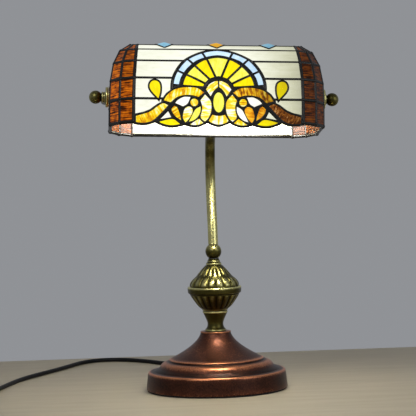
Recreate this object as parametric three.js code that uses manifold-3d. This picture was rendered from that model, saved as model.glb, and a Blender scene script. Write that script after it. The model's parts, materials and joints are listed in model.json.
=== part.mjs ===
// Stained glass table lamp: a faceted barrel shade of leaded glass, hung between the two ends of a
// yoke on a brass gooseneck, over an embossed brass urn and a spun copper base with a weight in it.
// Millimetres, +Z up, front of the lamp towards -Y. The origin is the centre of the base's underside.
import * as THREE from "three";
import { mergeVertices } from "three/addons/utils/BufferGeometryUtils.js";
import Module from "manifold-3d";

const wasm = await Module();
wasm.setup();

// ---------------------------------------------------------------- driving dimensions
const GAP = 0.3; // clearance between pieces that seat on each other
const ROUND_SIDES = 36; // sides of the large turned pieces
const SMALL_SIDES = 16; // sides of the small turned pieces

// Base
const BASE_RADIUS = 87.2; // lower edge of the copper skirt
const BASE_SHOULDER_HEIGHT = 23.6; // top edge of the skirt
const BASE_HEIGHT = 72; // top of the copper cone
const BASE_TOP_RADIUS = 18.4;
const BASE_WALL = 1.6;
const PAD_THICKNESS = 2;
const PAD_INSET = 1; // the pad's edge stands this far inside the skirt
const WEIGHT_CLEARANCE = 9.6; // between the weight's edge and the skirt's inside at its foot
const WEIGHT_THICKNESS = 13;

// Rod and nut through the whole foot
const ROD_RADIUS = 4.9;
const ROD_BORE = 3;
const NUT_ACROSS = 17;
const NUT_THICKNESS = 5;

// Brass column
const VASE_HEIGHT = 25;
const VASE_FOOT_RADIUS = 13.1;
const VASE_WAIST_RADIUS = 9.6;
const VASE_RIM_RADIUS = 15.6;
const BOWL_HEIGHT = 21;
const BELT_RADIUS = 33;
const BELT_HEIGHT = 8.4;
const DOME_HEIGHT = 25.8;
const DOME_TOP_RADIUS = 10.4;
const COLLAR_HEIGHT = 8;
const COLLAR_RADIUS = 9.6;
const NECK_BALL_RADIUS = 9.9;
const NECK_BALL_RIM = 0.04; // how far the ball's flat ends reach past the rod's bore
const STEM_RADIUS = 6.1;
const STEM_BORE = 4.4;
const STEM_SIDES = 12;
const STEM_SWEEP_BACK = 19; // how far the gooseneck leans behind the foot's axis

// Yoke and pivots
const PIVOT_HEIGHT = 357;
const PIVOT_FORWARD = 105; // the pivots' axis in front of the foot's axis
const HUB_BEHIND_PIVOT = 83;
const HUB_BELOW_PIVOT = 35;
const HUB_RADIUS = 10;
const HUB_LENGTH = 24;
const HEAD_CANT_DEG = 2.2; // hub, yoke and shade turned on the stem's end, right side lower
const ARM_RADIUS = 4.3;
const ARM_SIDES = 10;
const BEND_STEPS = 18; // steps along each bent tube
const EYE_RADIUS = 12;
const EYE_THICKNESS = 3;
const PIVOT_RADIUS = 4.4;
const NIPPLE_BORE = 2.6;
const SCREW_HEAD_RADIUS = 8;
const SCREW_HEAD_THICKNESS = 2.6;
const PIVOT_CLEARANCE = 0.1; // radial, between a pivot and the eye that it turns in
const END_PLATE_RADIUS = 13;
const END_PLATE_THICKNESS = 1;
const FINIAL_RADIUS = 7.8;
const LEFT_COLLAR_LENGTH = 4.6; // the idle pivot's finial stands off on a longer ringed collar
const RIGHT_COLLAR_LENGTH = 1.6;
const COLLAR_RING_RADIUS = 6.6;

// Shade, in its own frame: X along the pivots, Z up, origin on the pivots' axis
const SHADE_WIDTH = 249; // between the two end panes
const SHADE_DEPTH = 118; // between the front and rear panes
const SHADE_SKIRT_DROP = 37; // the rim below the pivots' axis
const SPRING_DROP = 9.8; // where the vertical skirt ends and the arch begins, below the pivots
const ARCH_RISE = 72; // the arch's height above that line, as a full half ellipse
const ARCH_FACETS = 9; // flat facets over the half ellipse
const FRONT_PANE_HALF = 97.5; // half width of the front panes at the skirt
const FRONT_PANE_TAPER = 4.5; // what they lose on each side at the top
const CROWN_HALF = 93; // half width of the end panes' profile at the very top
const END_ROUNDNESS = 2.6; // exponent of the end profile: 2 is an ellipse
const CORNER_SHARE = 0.6; // where the corner's middle seam lies, from front pane to end pane
const CORNER_SEAM_DEPTH = 0.83; // half depth of that seam, as a share of the barrel's
const END_SEAM_DEPTH = 0.51; // half depth of the end pane, as a share of the barrel's
// The front's lower edge hangs below the rim in lobes: each lobe's end, as a share of the front's
// half width, how far the edge hangs at that end, and how much further it hangs in the lobe's middle.
const SCALLOPS = [
  { end: 0.13, hang: 0.5, lobe: 4.4 },
  { end: 0.4, hang: 3, lobe: 3.9 },
  { end: 0.75, hang: 0.2, lobe: 4.4 },
  { end: 1, hang: 2, lobe: 2.4 },
];
const GLASS = 3; // glass thickness
const LEAD_WIDTH = 3.4; // solder line
const LEAD_PROUD = 0.6; // how far it stands above and below the glass
const SHADE_TILT_DEG = 7.8; // front edge raised at rest

// Electrical parts
const HOLDER_RADIUS = 19;
const HOLDER_LENGTH = 50;
const BULB_RADIUS = 28;
const BULB_CAP_RADIUS = 13;
const BULB_LENGTH = 112; // cap included
const BULB_WALL = 1.2;
const JEWEL_SPACING = 61;
const JEWEL_HALF = 9;
const JEWEL_HEIGHT = 3.6;

// Cord, switch and plug
const CORD_RADIUS = 2.75;
const EXIT_HEIGHT = 9;
const RELIEF_LENGTH = 32;
const RELIEF_RADIUS = 5.4;
const COIL_MEAN_RADIUS = 31;
const COIL_TURNS_WIDE = 3;
const COIL_LAYERS = 2;
const COIL_LIFT = 1.1; // the tie's thickness and clearance under the coil
const TIE_WIDTH = 5;
const TIE_THICKNESS = 0.8;
const SWITCH_LENGTH = 62;
const SWITCH_WIDTH = 25;
const SWITCH_HEIGHT = 16;
const SWITCH_CORD_HEIGHT = 6.5;
const ROCKER_LENGTH = 19;
const ROCKER_WIDTH = 10;
const ROCKER_THICKNESS = 4.4;
const ROCKER_DEPTH = 4.6; // depth of its well
const ROCKER_TIP_DEG = 8; // it rests tipped this far to one side
const PLUG_LENGTH = 36;
const PLUG_WIDTH = 26;
const PLUG_HEIGHT = 13.6;
const PIN_RADIUS = 2;
const PIN_LENGTH = 19;
const PIN_SPACING = 18.6;

// ---------------------------------------------------------------- finishes
const finish = (color, roughness, metalness, more = {}) =>
  new THREE.MeshStandardMaterial({ color, roughness, metalness, ...more });
const copper = () => finish(0x6b3a28, 0.42, 0.9);
const brass = () => finish(0x7d7440, 0.35, 0.95);
const steel = () => finish(0x9a9a98, 0.4, 0.95);
const castIron = () => finish(0x33312f, 0.8, 0.4);
const felt = () => finish(0x111111, 0.95, 0);
const creamGlass = () => finish(0xf0ead2, 0.3, 0);
const amberGlass = () => finish(0x9a4a12, 0.3, 0);
const lead = () => finish(0x1c1a18, 0.55, 0.6);
const blackPlastic = () => finish(0x16161a, 0.5, 0);
const whitePlastic = () => finish(0xe9e6de, 0.45, 0);
const cordBlack = () => finish(0x141414, 0.6, 0);

// ---------------------------------------------------------------- solids
// A three.js geometry as a closed manifold solid with its faces outwards.
function solid(geometry) {
  const bare = geometry.index ? geometry.toNonIndexed() : geometry.clone();
  const points = new THREE.BufferGeometry().setAttribute("position", bare.getAttribute("position"));
  const merged = mergeVertices(points, 1e-3);
  const index = merged.index.array;
  const kept = [];
  for (let i = 0; i < index.length; i += 3) {
    const [a, b, c] = [index[i], index[i + 1], index[i + 2]];
    if (a !== b && b !== c && c !== a) kept.push(a, b, c);
  }
  const made = (triangles) =>
    new wasm.Manifold(
      new wasm.Mesh({
        numProp: 3,
        vertProperties: merged.attributes.position.array,
        triVerts: new Uint32Array(triangles),
      }),
    );
  const first = made(kept);
  if (first.volume() > 0) return first;
  const turned = [];
  for (let i = 0; i < kept.length; i += 3) turned.push(kept[i], kept[i + 2], kept[i + 1]);
  return made(turned);
}

// A manifold solid as a three.js geometry.
function geometryOf(body) {
  const m = body.getMesh();
  const position = new Float32Array(m.numVert * 3);
  for (let i = 0; i < m.numVert; i++) {
    position.set(m.vertProperties.subarray(i * m.numProp, i * m.numProp + 3), i * 3);
  }
  const made = new THREE.BufferGeometry()
    .setAttribute("position", new THREE.BufferAttribute(position, 3))
    .setIndex(new THREE.BufferAttribute(new Uint32Array(m.triVerts), 1));
  made.computeVertexNormals();
  return made;
}

function mesh(name, body, material) {
  const made = new THREE.Mesh(geometryOf(body), material);
  made.name = name;
  return made;
}

const v2 = (x, y) => new THREE.Vector2(x, y);
const v3 = (x, y, z) => new THREE.Vector3(x, y, z);

// A turned piece about +Z from its [radius, height] profile.
function turned(profile, sides = ROUND_SIDES) {
  const points = profile.map(([r, z]) => v2(r, z));
  return new THREE.LatheGeometry(points, sides).rotateX(Math.PI / 2);
}

// A turned ring or tube: a closed profile, so its first point comes again.
const turnedRing = (profile, sides) => turned([...profile, profile[0]], sides);

// A plain round bar about +Z.
const bar = (radius, low, high, sides = SMALL_SIDES) =>
  turned([[0, low], [radius, low], [radius, high], [0, high]], sides);

// A bar, tube or turned piece laid along +X.
const alongX = (geometry) => geometry.rotateY(Math.PI / 2);

// A round rod that follows a curve.
function rod(curve, radius, sides, steps) {
  const section = new THREE.Shape();
  for (let i = 0; i < sides; i++) {
    const a = (2 * Math.PI * i) / sides;
    const [x, y] = [radius * Math.cos(a), radius * Math.sin(a)];
    if (i === 0) section.moveTo(x, y);
    else section.lineTo(x, y);
  }
  section.closePath();
  const options = { steps, extrudePath: curve, bevelEnabled: false };
  return new THREE.ExtrudeGeometry(section, options);
}

// ---------------------------------------------------------------- base
const skirtBottom = PAD_THICKNESS + GAP;

// The spun copper outline from the skirt's lower edge to the cone's top, inset by a wall.
function baseOutline(inset) {
  const skirtLean = 2.2; // the skirt narrows by this much up to its shoulder
  const shoulder = BASE_RADIUS - skirtLean;
  const ledge = shoulder - 16;
  const ridge = shoulder - 28;
  const cone = BASE_HEIGHT - BASE_SHOULDER_HEIGHT - 15;
  const coneFoot = BASE_HEIGHT - cone;
  const points = [
    [BASE_RADIUS, skirtBottom],
    [shoulder, BASE_SHOULDER_HEIGHT - 1.2],
    [shoulder - 1.6, BASE_SHOULDER_HEIGHT + 0.4],
    [shoulder - 10, BASE_SHOULDER_HEIGHT + 2.4],
    [ledge, BASE_SHOULDER_HEIGHT + 5.6],
    [ledge - 3, BASE_SHOULDER_HEIGHT + 9.6],
    [ridge + 2, BASE_SHOULDER_HEIGHT + 13],
    [ridge, coneFoot],
  ];
  // The cone is an ogee: its radius falls off as a power of the height.
  const coneSteps = 8;
  for (let i = 1; i <= coneSteps; i++) {
    const t = i / coneSteps;
    const fall = Math.pow(1 - t, 1.75);
    points.push([BASE_TOP_RADIUS + (ridge - BASE_TOP_RADIUS) * fall, coneFoot + cone * t]);
  }
  return points.map(([r, z]) => [r - inset, z - inset]);
}

function makeBase() {
  const outer = baseOutline(0);
  const inner = baseOutline(BASE_WALL).filter(([, z], i) => z > skirtBottom && i % 2 === 1);
  inner.unshift([BASE_RADIUS - BASE_WALL, skirtBottom]);
  const bore = ROD_RADIUS + GAP;
  const roof = BASE_HEIGHT - BASE_WALL;
  const shell = solid(turnedRing([...outer, [bore, BASE_HEIGHT], [bore, roof], ...inner.reverse()]));
  const cordHole = new THREE.CylinderGeometry(CORD_HOLE, CORD_HOLE, 30, SMALL_SIDES);
  cordHole.translate(0, BASE_RADIUS, EXIT_HEIGHT);
  const pad = solid(bar(BASE_RADIUS - PAD_INSET, 0, PAD_THICKNESS, ROUND_SIDES));
  const nutBottom = PAD_THICKNESS + 1.2;
  const weightBottom = nutBottom + NUT_THICKNESS + GAP;
  const weightRadius = BASE_RADIUS - BASE_WALL - WEIGHT_CLEARANCE;
  const weight = solid(
    turnedRing([
      [bore, weightBottom],
      [weightRadius, weightBottom],
      [weightRadius, weightBottom + WEIGHT_THICKNESS - 4],
      [weightRadius - 12, weightBottom + WEIGHT_THICKNESS],
      [bore, weightBottom + WEIGHT_THICKNESS],
    ]),
  );
  const cornerRadius = NUT_ACROSS / Math.sqrt(3);
  const nut = solid(
    turnedRing(
      [
        [bore, nutBottom],
        [cornerRadius, nutBottom],
        [cornerRadius, nutBottom + NUT_THICKNESS],
        [bore, nutBottom + NUT_THICKNESS],
      ],
      6,
    ),
  );
  const rodBottom = PAD_THICKNESS + GAP;
  const rodBody = solid(
    turnedRing(
      [
        [ROD_BORE, rodBottom],
        [ROD_RADIUS, rodBottom],
        [ROD_RADIUS, ROD_TOP],
        [ROD_BORE, ROD_TOP],
      ],
      SMALL_SIDES,
    ),
  );
  // The nut's six corners touch the rod only at their flats, so its bore is cut round.
  const nutBore = solid(bar(bore, 0, 20));
  return [
    mesh("base_pad", pad, felt()),
    mesh("base_shell", shell.subtract(solid(cordHole)), copper()),
    mesh("base_weight", weight, castIron()),
    mesh("rod_nut", nut.subtract(nutBore), steel()),
    mesh("threaded_rod", rodBody, steel()),
  ];
}

// ---------------------------------------------------------------- brass column
const vaseBottom = BASE_HEIGHT + GAP;
const bowlBottom = vaseBottom + VASE_HEIGHT + GAP;
const beltBottom = bowlBottom + BOWL_HEIGHT + GAP;
const domeBottom = beltBottom + BELT_HEIGHT + GAP;
const collarBottom = domeBottom + DOME_HEIGHT + GAP;
const neckBottom = collarBottom + COLLAR_HEIGHT + GAP;
const columnBore = ROD_RADIUS + GAP;
const neckHeight = 2 * Math.sqrt(NECK_BALL_RADIUS ** 2 - (columnBore + NECK_BALL_RIM) ** 2);
const stemBottom = neckBottom + neckHeight + GAP;
const ROD_TOP = stemBottom - GAP;
const CORD_HOLE = RELIEF_RADIUS - 0.9 + GAP;

// A turned piece with the rod's bore through it.
const onRod = (profile, sides = 28) => {
  const last = profile.length - 1;
  const ring = [[columnBore, profile[0][1]], ...profile, [columnBore, profile[last][1]]];
  return solid(turnedRing(ring, sides));
};

function makeColumn() {
  const vase = onRod([
    [VASE_FOOT_RADIUS, vaseBottom],
    [VASE_FOOT_RADIUS, vaseBottom + 1.4],
    [VASE_FOOT_RADIUS - 2, vaseBottom + 3.4],
    [VASE_WAIST_RADIUS + 0.3, vaseBottom + 6.5],
    [VASE_WAIST_RADIUS, vaseBottom + 9.5],
    [VASE_WAIST_RADIUS + 1.8, vaseBottom + 15],
    [VASE_RIM_RADIUS - 0.8, vaseBottom + VASE_HEIGHT - 2.6],
    [VASE_RIM_RADIUS, vaseBottom + VASE_HEIGHT - 1],
    [VASE_RIM_RADIUS - 0.6, vaseBottom + VASE_HEIGHT],
  ]);
  const bowlTop = bowlBottom + BOWL_HEIGHT;
  const bowl = onRod([
    [VASE_RIM_RADIUS - 1.4, bowlBottom],
    [VASE_RIM_RADIUS + 0.2, bowlBottom + 2],
    [BELT_RADIUS * 0.66, bowlBottom + BOWL_HEIGHT * 0.42],
    [BELT_RADIUS * 0.84, bowlBottom + BOWL_HEIGHT * 0.78],
    [BELT_RADIUS - 2.6, bowlTop - 1.4],
    [BELT_RADIUS - 2.4, bowlTop],
  ]);
  const belt = onRod(
    [
      [BELT_RADIUS - 1.4, beltBottom],
      [BELT_RADIUS, beltBottom + 1.8],
      [BELT_RADIUS + 0.3, beltBottom + BELT_HEIGHT - 1.2],
      [BELT_RADIUS - 0.3, beltBottom + BELT_HEIGHT],
    ],
    ROUND_SIDES,
  );
  const domeFoot = BELT_RADIUS - 2.8;
  const domeProfile = [[domeFoot, domeBottom]];
  const domeSteps = 6;
  for (let i = 1; i <= domeSteps; i++) {
    const t = i / domeSteps;
    const r = DOME_TOP_RADIUS + (domeFoot - DOME_TOP_RADIUS) * (1 - Math.pow(t, 1.25));
    domeProfile.push([r + 1.6 * Math.sin(2 * Math.PI * t) * (1 - t), domeBottom + DOME_HEIGHT * t]);
  }
  const dome = onRod(domeProfile);
  const collar = onRod(
    [
      [COLLAR_RADIUS - 0.6, collarBottom],
      [COLLAR_RADIUS, collarBottom + 1],
      [COLLAR_RADIUS - 0.4, collarBottom + 3],
      [COLLAR_RADIUS - 1.8, collarBottom + 3.8],
      [COLLAR_RADIUS - 1.6, collarBottom + 5.6],
      [COLLAR_RADIUS - 2.8, collarBottom + 6.6],
      [COLLAR_RADIUS - 3, collarBottom + COLLAR_HEIGHT],
    ],
    24,
  );
  const ball = [];
  const ballSteps = 8;
  const reach = neckHeight / 2;
  for (let i = 0; i <= ballSteps; i++) {
    const z = -reach + (neckHeight * i) / ballSteps;
    ball.push([Math.sqrt(NECK_BALL_RADIUS ** 2 - z ** 2), neckBottom + reach + z]);
  }
  return [
    mesh("column_vase", vase, brass()),
    mesh("urn_lower_bowl", bowl, brass()),
    mesh("urn_belt", belt, brass()),
    mesh("urn_upper_dome", dome, brass()),
    mesh("urn_collar", collar, brass()),
    mesh("neck_ball", onRod(ball, 24), brass()),
  ];
}

// ---------------------------------------------------------------- stem and yoke
const pivot = v3(0, -PIVOT_FORWARD, PIVOT_HEIGHT);
const hub = v3(0, pivot.y + HUB_BEHIND_PIVOT, pivot.z - HUB_BELOW_PIVOT);
const eyeInner = SHADE_WIDTH / 2 + 2 * GAP + END_PLATE_THICKNESS;
const eyeOuter = eyeInner + EYE_THICKNESS;
const headCant = THREE.MathUtils.degToRad(HEAD_CANT_DEG);

// The gooseneck's line: back from the foot's axis, then forward to the hub.
function stemCurve() {
  const rise = hub.z - stemBottom;
  return new THREE.CatmullRomCurve3([
    v3(0, 0, stemBottom - 2),
    v3(0, STEM_SWEEP_BACK * 0.27, stemBottom + rise * 0.17),
    v3(0, STEM_SWEEP_BACK * 0.76, stemBottom + rise * 0.37),
    v3(0, STEM_SWEEP_BACK, stemBottom + rise * 0.55),
    v3(0, STEM_SWEEP_BACK * 0.8, stemBottom + rise * 0.73),
    v3(0, STEM_SWEEP_BACK * 0.1, stemBottom + rise * 0.89),
    v3(0, hub.y * 0.62, hub.z - 4.5),
  ]);
}

function makeStem() {
  const curve = stemCurve();
  const outer = solid(rod(curve, STEM_RADIUS, STEM_SIDES, BEND_STEPS));
  const inner = solid(rod(curve, STEM_BORE, STEM_SIDES / 2, BEND_STEPS));
  const seat = solid(bar(2 * STEM_RADIUS, stemBottom - 6, stemBottom));
  return outer.subtract(inner).subtract(seat);
}

function makeHub() {
  const half = HUB_LENGTH / 2;
  const profile = [
    [0, -half],
    [HUB_RADIUS - 3, -half],
    [HUB_RADIUS - 2, -half + 2.4],
    [HUB_RADIUS, -half + 4.4],
    [HUB_RADIUS, half - 4.4],
    [HUB_RADIUS - 2, half - 2.4],
    [HUB_RADIUS - 3, half],
    [0, half],
  ];
  const body = solid(alongX(turned(profile, 24)).translate(0, hub.y, hub.z));
  // The stem as the canted head sees it.
  const stem = rod(stemCurve(), STEM_RADIUS + GAP, STEM_SIDES, BEND_STEPS)
    .translate(0, -hub.y, -hub.z)
    .rotateY(-headCant)
    .translate(0, hub.y, hub.z);
  return body.subtract(solid(stem));
}

// One arm of the yoke, from the hub round the shade's corner to its eye; side is -1 or 1.
function makeArm(side) {
  const x = (value) => side * value;
  const along = eyeInner + ARM_RADIUS;
  const up = HUB_BELOW_PIVOT;
  const back = HUB_BEHIND_PIVOT;
  const curve = new THREE.CatmullRomCurve3([
    v3(x(HUB_LENGTH / 2 + GAP), hub.y, hub.z),
    v3(x(along * 0.36), hub.y, hub.z),
    v3(x(along * 0.66), hub.y - back * 0.01, hub.z + up * 0.3),
    v3(x(along * 0.87), hub.y - back * 0.07, hub.z + up * 0.68),
    v3(x(along * 0.97), hub.y - back * 0.25, hub.z + up * 0.86),
    v3(x(along), hub.y - back * 0.52, hub.z + up * 0.89),
    v3(x(along), pivot.y + EYE_RADIUS - 2.5, pivot.z - 4),
  ]);
  const strut = solid(rod(curve, ARM_RADIUS, ARM_SIDES, BEND_STEPS));
  const eye = (radius, low, high, sides) => {
    const shape = alongX(bar(radius, low, high, sides)).translate(0, pivot.y, pivot.z);
    return side < 0 ? solid(shape.rotateZ(Math.PI).translate(0, 2 * pivot.y, 0)) : solid(shape);
  };
  const reliefRadius = FINIAL_RADIUS + 0.6;
  const finialSpace = eye(reliefRadius, eyeOuter, eyeOuter + 30, SMALL_SIDES);
  const plateSpace = eye(EYE_RADIUS + 3, eyeInner - 30, eyeInner, SMALL_SIDES);
  const bore = eye(PIVOT_RADIUS + PIVOT_CLEARANCE + 0.04, eyeInner - 5, eyeOuter + 5, 32);
  return strut
    .add(eye(EYE_RADIUS, eyeInner, eyeOuter, 28))
    .subtract(finialSpace)
    .subtract(plateSpace)
    .subtract(bore);
}

// ---------------------------------------------------------------- shade
// Half depth and height of the barrel's section at seam line k, from the front rim over the top.
const sectionLines = ARCH_FACETS + 3;
function sectionPoint(k) {
  if (k === 0) return { y: -SHADE_DEPTH / 2, z: -SHADE_SKIRT_DROP };
  if (k === sectionLines - 1) return { y: SHADE_DEPTH / 2, z: -SHADE_SKIRT_DROP };
  const angle = (Math.PI * (k - 1)) / ARCH_FACETS;
  return {
    y: (-SHADE_DEPTH / 2) * Math.cos(angle),
    z: -SPRING_DROP + ARCH_RISE * Math.sin(angle),
  };
}

// The three seams of each end at height z: front pane's edge, corner's middle, end pane's edge.
function seamsAt(z) {
  const h = Math.max(0, (z + SPRING_DROP) / ARCH_RISE);
  const frontPane = FRONT_PANE_HALF - FRONT_PANE_TAPER * h * h;
  const round = Math.pow(1 - Math.min(1, Math.pow(h, END_ROUNDNESS)), 1 / END_ROUNDNESS);
  const endPane = CROWN_HALF + (SHADE_WIDTH / 2 - CROWN_HALF) * round;
  return [frontPane, frontPane + (endPane - frontPane) * CORNER_SHARE, endPane];
}

// Seam columns are numbered -3, -2, -1, 1, 2, 3 across the shade.
function gridPoint(k, column) {
  const { y, z } = sectionPoint(k);
  const step = Math.abs(column) - 1;
  const depth = [1, CORNER_SEAM_DEPTH, END_SEAM_DEPTH][step];
  return v3(Math.sign(column) * seamsAt(z)[step], y * depth, z);
}

// The outward normal of one cell of a pane's grid.
function facing(rows, i, j) {
  const [a, b, c, d] = [rows[i][j], rows[i + 1][j], rows[i + 1][j + 1], rows[i][j + 1]];
  const normal = c.clone().sub(a).cross(d.clone().sub(b)).normalize();
  const middle = a.clone().add(b).add(c).add(d);
  return normal.dot(middle) < 0 ? normal.negate() : normal;
}

// The outward direction at each point of a pane's grid.
function normalsOf(rows) {
  const [n, m] = [rows.length, rows[0].length];
  return rows.map((row, i) =>
    row.map((_, j) => {
      const sum = v3(0, 0, 0);
      for (const [a, b] of [[i, j], [i - 1, j], [i, j - 1], [i - 1, j - 1]]) {
        if (a >= 0 && b >= 0 && a < n - 1 && b < m - 1) sum.add(facing(rows, a, b));
      }
      return sum.normalize();
    }),
  );
}

// The grid again, with its four edges drawn in over the surface.
function drawnIn(rows, distance) {
  const [n, m] = [rows.length, rows[0].length];
  const step = (p, towards) => towards.clone().sub(p).normalize().multiplyScalar(distance);
  return rows.map((row, i) =>
    row.map((p, j) => {
      const moved = p.clone();
      if (i === 0) moved.add(step(p, rows[1][j]));
      if (i === n - 1) moved.add(step(p, rows[n - 2][j]));
      if (j === 0) moved.add(step(p, row[1]));
      if (j === m - 1) moved.add(step(p, row[m - 2]));
      return moved;
    }),
  );
}

// A solid slab over a grid: from `above` its surface to `below` it, its edges drawn in by `inset`.
function slab(grid, inset, above, below) {
  const normals = normalsOf(grid);
  const rows = drawnIn(grid, inset);
  const shifted = (distance) =>
    rows.map((row, i) => row.map((p, j) => p.clone().addScaledVector(normals[i][j], distance)));
  const [outer, inner] = [shifted(above), shifted(-below)];
  const [n, m] = [rows.length, rows[0].length];
  const triangles = [];
  const quad = (a, b, c, d) => triangles.push(a, b, c, a, c, d);
  for (let i = 0; i < n - 1; i++) {
    for (let j = 0; j < m - 1; j++) {
      quad(outer[i][j], outer[i + 1][j], outer[i + 1][j + 1], outer[i][j + 1]);
      quad(inner[i][j], inner[i][j + 1], inner[i + 1][j + 1], inner[i + 1][j]);
    }
    quad(outer[i + 1][0], outer[i][0], inner[i][0], inner[i + 1][0]);
    quad(outer[i][m - 1], outer[i + 1][m - 1], inner[i + 1][m - 1], inner[i][m - 1]);
  }
  for (let j = 0; j < m - 1; j++) {
    quad(outer[0][j], outer[0][j + 1], inner[0][j + 1], inner[0][j]);
    quad(outer[n - 1][j + 1], outer[n - 1][j], inner[n - 1][j], inner[n - 1][j + 1]);
  }
  return solid(new THREE.BufferGeometry().setFromPoints(triangles));
}

const range = (low, high) => Array.from({ length: high - low + 1 }, (_, i) => low + i);
const patch = (lines, columns) => lines.map((k) => columns.map((c) => gridPoint(k, c)));

// Every pane: its name, its grid and whether it is amber.
function paneList() {
  const last = sectionLines - 1;
  const top = (last - 1) / 2; // the line before the top strip
  const shoulder = 3; // the corner's lower panes end at this line
  const list = [];
  for (let k = 0; k < last; k++) {
    const front = k < top;
    const number = front ? k + 1 : last - k;
    const name = k === top ? "top_pane" : `${front ? "front" : "rear"}_pane_${number}`;
    list.push({ name, rows: patch([k, k + 1], [-1, 1]), amber: false });
  }
  for (const [side, label] of [[-1, "left"], [1, "right"]]) {
    const parts = [
      ["corner_inner_front", range(0, shoulder), [1, 2]],
      ["corner_outer_front", range(0, shoulder), [2, 3]],
      ["crown", range(shoulder, last - shoulder), [1, 2, 3]],
      ["corner_inner_rear", range(last - shoulder, last), [1, 2]],
      ["corner_outer_rear", range(last - shoulder, last), [2, 3]],
    ];
    for (const [part, lines, columns] of parts) {
      const rows = patch(lines, columns.map((c) => side * c));
      list.push({ name: `${part}_${label}`, rows, amber: true });
    }
    const rows = range(0, top).map((k) => [gridPoint(k, side * 3), gridPoint(last - k, side * 3)]);
    list.push({ name: `end_pane_${label}`, rows, amber: true });
  }
  return list;
}

// The front's scalloped lower edge, from left to right, drawn in by `inset`.
function scallopedEdge(inset) {
  const steps = 6; // along each lobe
  const reach = FRONT_PANE_HALF - inset;
  const point = (x, hang) => v2(x, -SHADE_SKIRT_DROP - hang + inset);
  const half = [];
  SCALLOPS.forEach(({ end, hang, lobe }, i) => {
    const before = i === 0 ? { end: -end, hang } : SCALLOPS[i - 1];
    for (let j = i === 0 ? steps / 2 : 1; j <= steps; j++) {
      const t = j / steps;
      const across = before.end + (end - before.end) * t;
      const drop = before.hang + (hang - before.hang) * t + lobe * Math.sin(Math.PI * t);
      half.push(point(reach * across, drop));
    }
  });
  const left = half.slice(1).reverse().map((p) => v2(-p.x, p.y));
  return [...left, ...half];
}

// The front's lowest, flat facet with its scalloped edge, as a plate.
function scallopedPlate(inset, above, below) {
  const top = sectionPoint(1).z - inset;
  const edge = scallopedEdge(inset);
  const reach = FRONT_PANE_HALF - inset;
  const outline = new THREE.Shape([...edge, v2(reach, top), v2(-reach, top)]);
  const plate = new THREE.ExtrudeGeometry(outline, { depth: above + below, bevelEnabled: false });
  return solid(plate.rotateX(Math.PI / 2).translate(0, -SHADE_DEPTH / 2 + below, 0));
}

// The whole shade's surface as one shell, from `above` the glass's outer face to `below` it.
function wholeShell(panes, above, below) {
  const key = (p) => p.toArray().map((v) => v.toFixed(2)).join(" ");
  const normals = new Map();
  const cells = [];
  for (const { rows } of panes) {
    for (let i = 0; i < rows.length - 1; i++) {
      for (let j = 0; j < rows[0].length - 1; j++) {
        const corners = [rows[i][j], rows[i + 1][j], rows[i + 1][j + 1], rows[i][j + 1]];
        const normal = facing(rows, i, j);
        const turn = corners[1].clone().sub(corners[0]).cross(corners[2].clone().sub(corners[0]));
        cells.push(turn.dot(normal) > 0 ? corners : corners.reverse());
        for (const p of corners) {
          if (!normals.has(key(p))) normals.set(key(p), v3(0, 0, 0));
          normals.get(key(p)).add(normal);
        }
      }
    }
  }
  const shifted = (p, distance) => {
    return p.clone().addScaledVector(normals.get(key(p)).clone().normalize(), distance);
  };
  const triangles = [];
  const quad = (a, b, c, d) => triangles.push(a, b, c, a, c, d);
  const atRim = (p) => Math.abs(p.z + SHADE_SKIRT_DROP) < 0.01;
  for (const corners of cells) {
    quad(...corners.map((p) => shifted(p, above)));
    quad(...corners.map((p) => shifted(p, -below)).reverse());
    corners.forEach((p, i) => {
      const q = corners[(i + 1) % 4];
      if (atRim(p) && atRim(q)) {
        quad(shifted(q, above), shifted(p, above), shifted(p, -below), shifted(q, -below));
      }
    });
  }
  return solid(new THREE.BufferGeometry().setFromPoints(triangles));
}

function makeShade() {
  const panes = paneList();
  const pivotHole = solid(alongX(bar(PIVOT_RADIUS + GAP, -SHADE_WIDTH, SHADE_WIDTH)));
  let solder = wholeShell(panes, LEAD_PROUD, GLASS + LEAD_PROUD);
  solder = solder.add(scallopedPlate(0, LEAD_PROUD, GLASS + LEAD_PROUD));
  const made = panes.map(({ name, rows, amber }) => {
    const beyond = 2 * LEAD_PROUD + 1;
    const plate = (inset, above, below) =>
      name === "front_pane_1" ? scallopedPlate(inset, above, below) : slab(rows, inset, above, below);
    solder = solder.subtract(plate(LEAD_WIDTH / 2, beyond, GLASS + beyond));
    let body = plate(LEAD_WIDTH / 2 + GAP, 0, GLASS);
    if (name.startsWith("end_pane")) body = body.subtract(pivotHole);
    return mesh(name, body, amber ? amberGlass() : creamGlass());
  });
  made.push(mesh("solder_lattice", solder, lead()));
  return made;
}

function makeJewels() {
  const top = sectionPoint((sectionLines - 2) / 2).z + LEAD_PROUD + GAP;
  return [[-1, "left"], [0, "centre"], [1, "right"]].map(([place, label]) => {
    const dome = [
      [0, 0],
      [JEWEL_HALF, 0],
      [JEWEL_HALF * 0.62, JEWEL_HEIGHT * 0.7],
      [JEWEL_HALF * 0.2, JEWEL_HEIGHT],
      [0, JEWEL_HEIGHT],
    ];
    const body = solid(turned(dome, 4).translate(place * JEWEL_SPACING, 0, top));
    const color = place === 0 ? 0xe08a1a : 0x6fb4e8;
    return mesh(`top_jewel_${label}`, body, finish(color, 0.12, 0));
  });
}
// ---------------------------------------------------------------- pivots, finials, lampholder, bulb
// Inside the end panes: where the screw's head, or the nipple, begins.
const shankStart = SHADE_WIDTH / 2 - GLASS - 2 * GAP - SCREW_HEAD_THICKNESS - 0.8;

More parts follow.
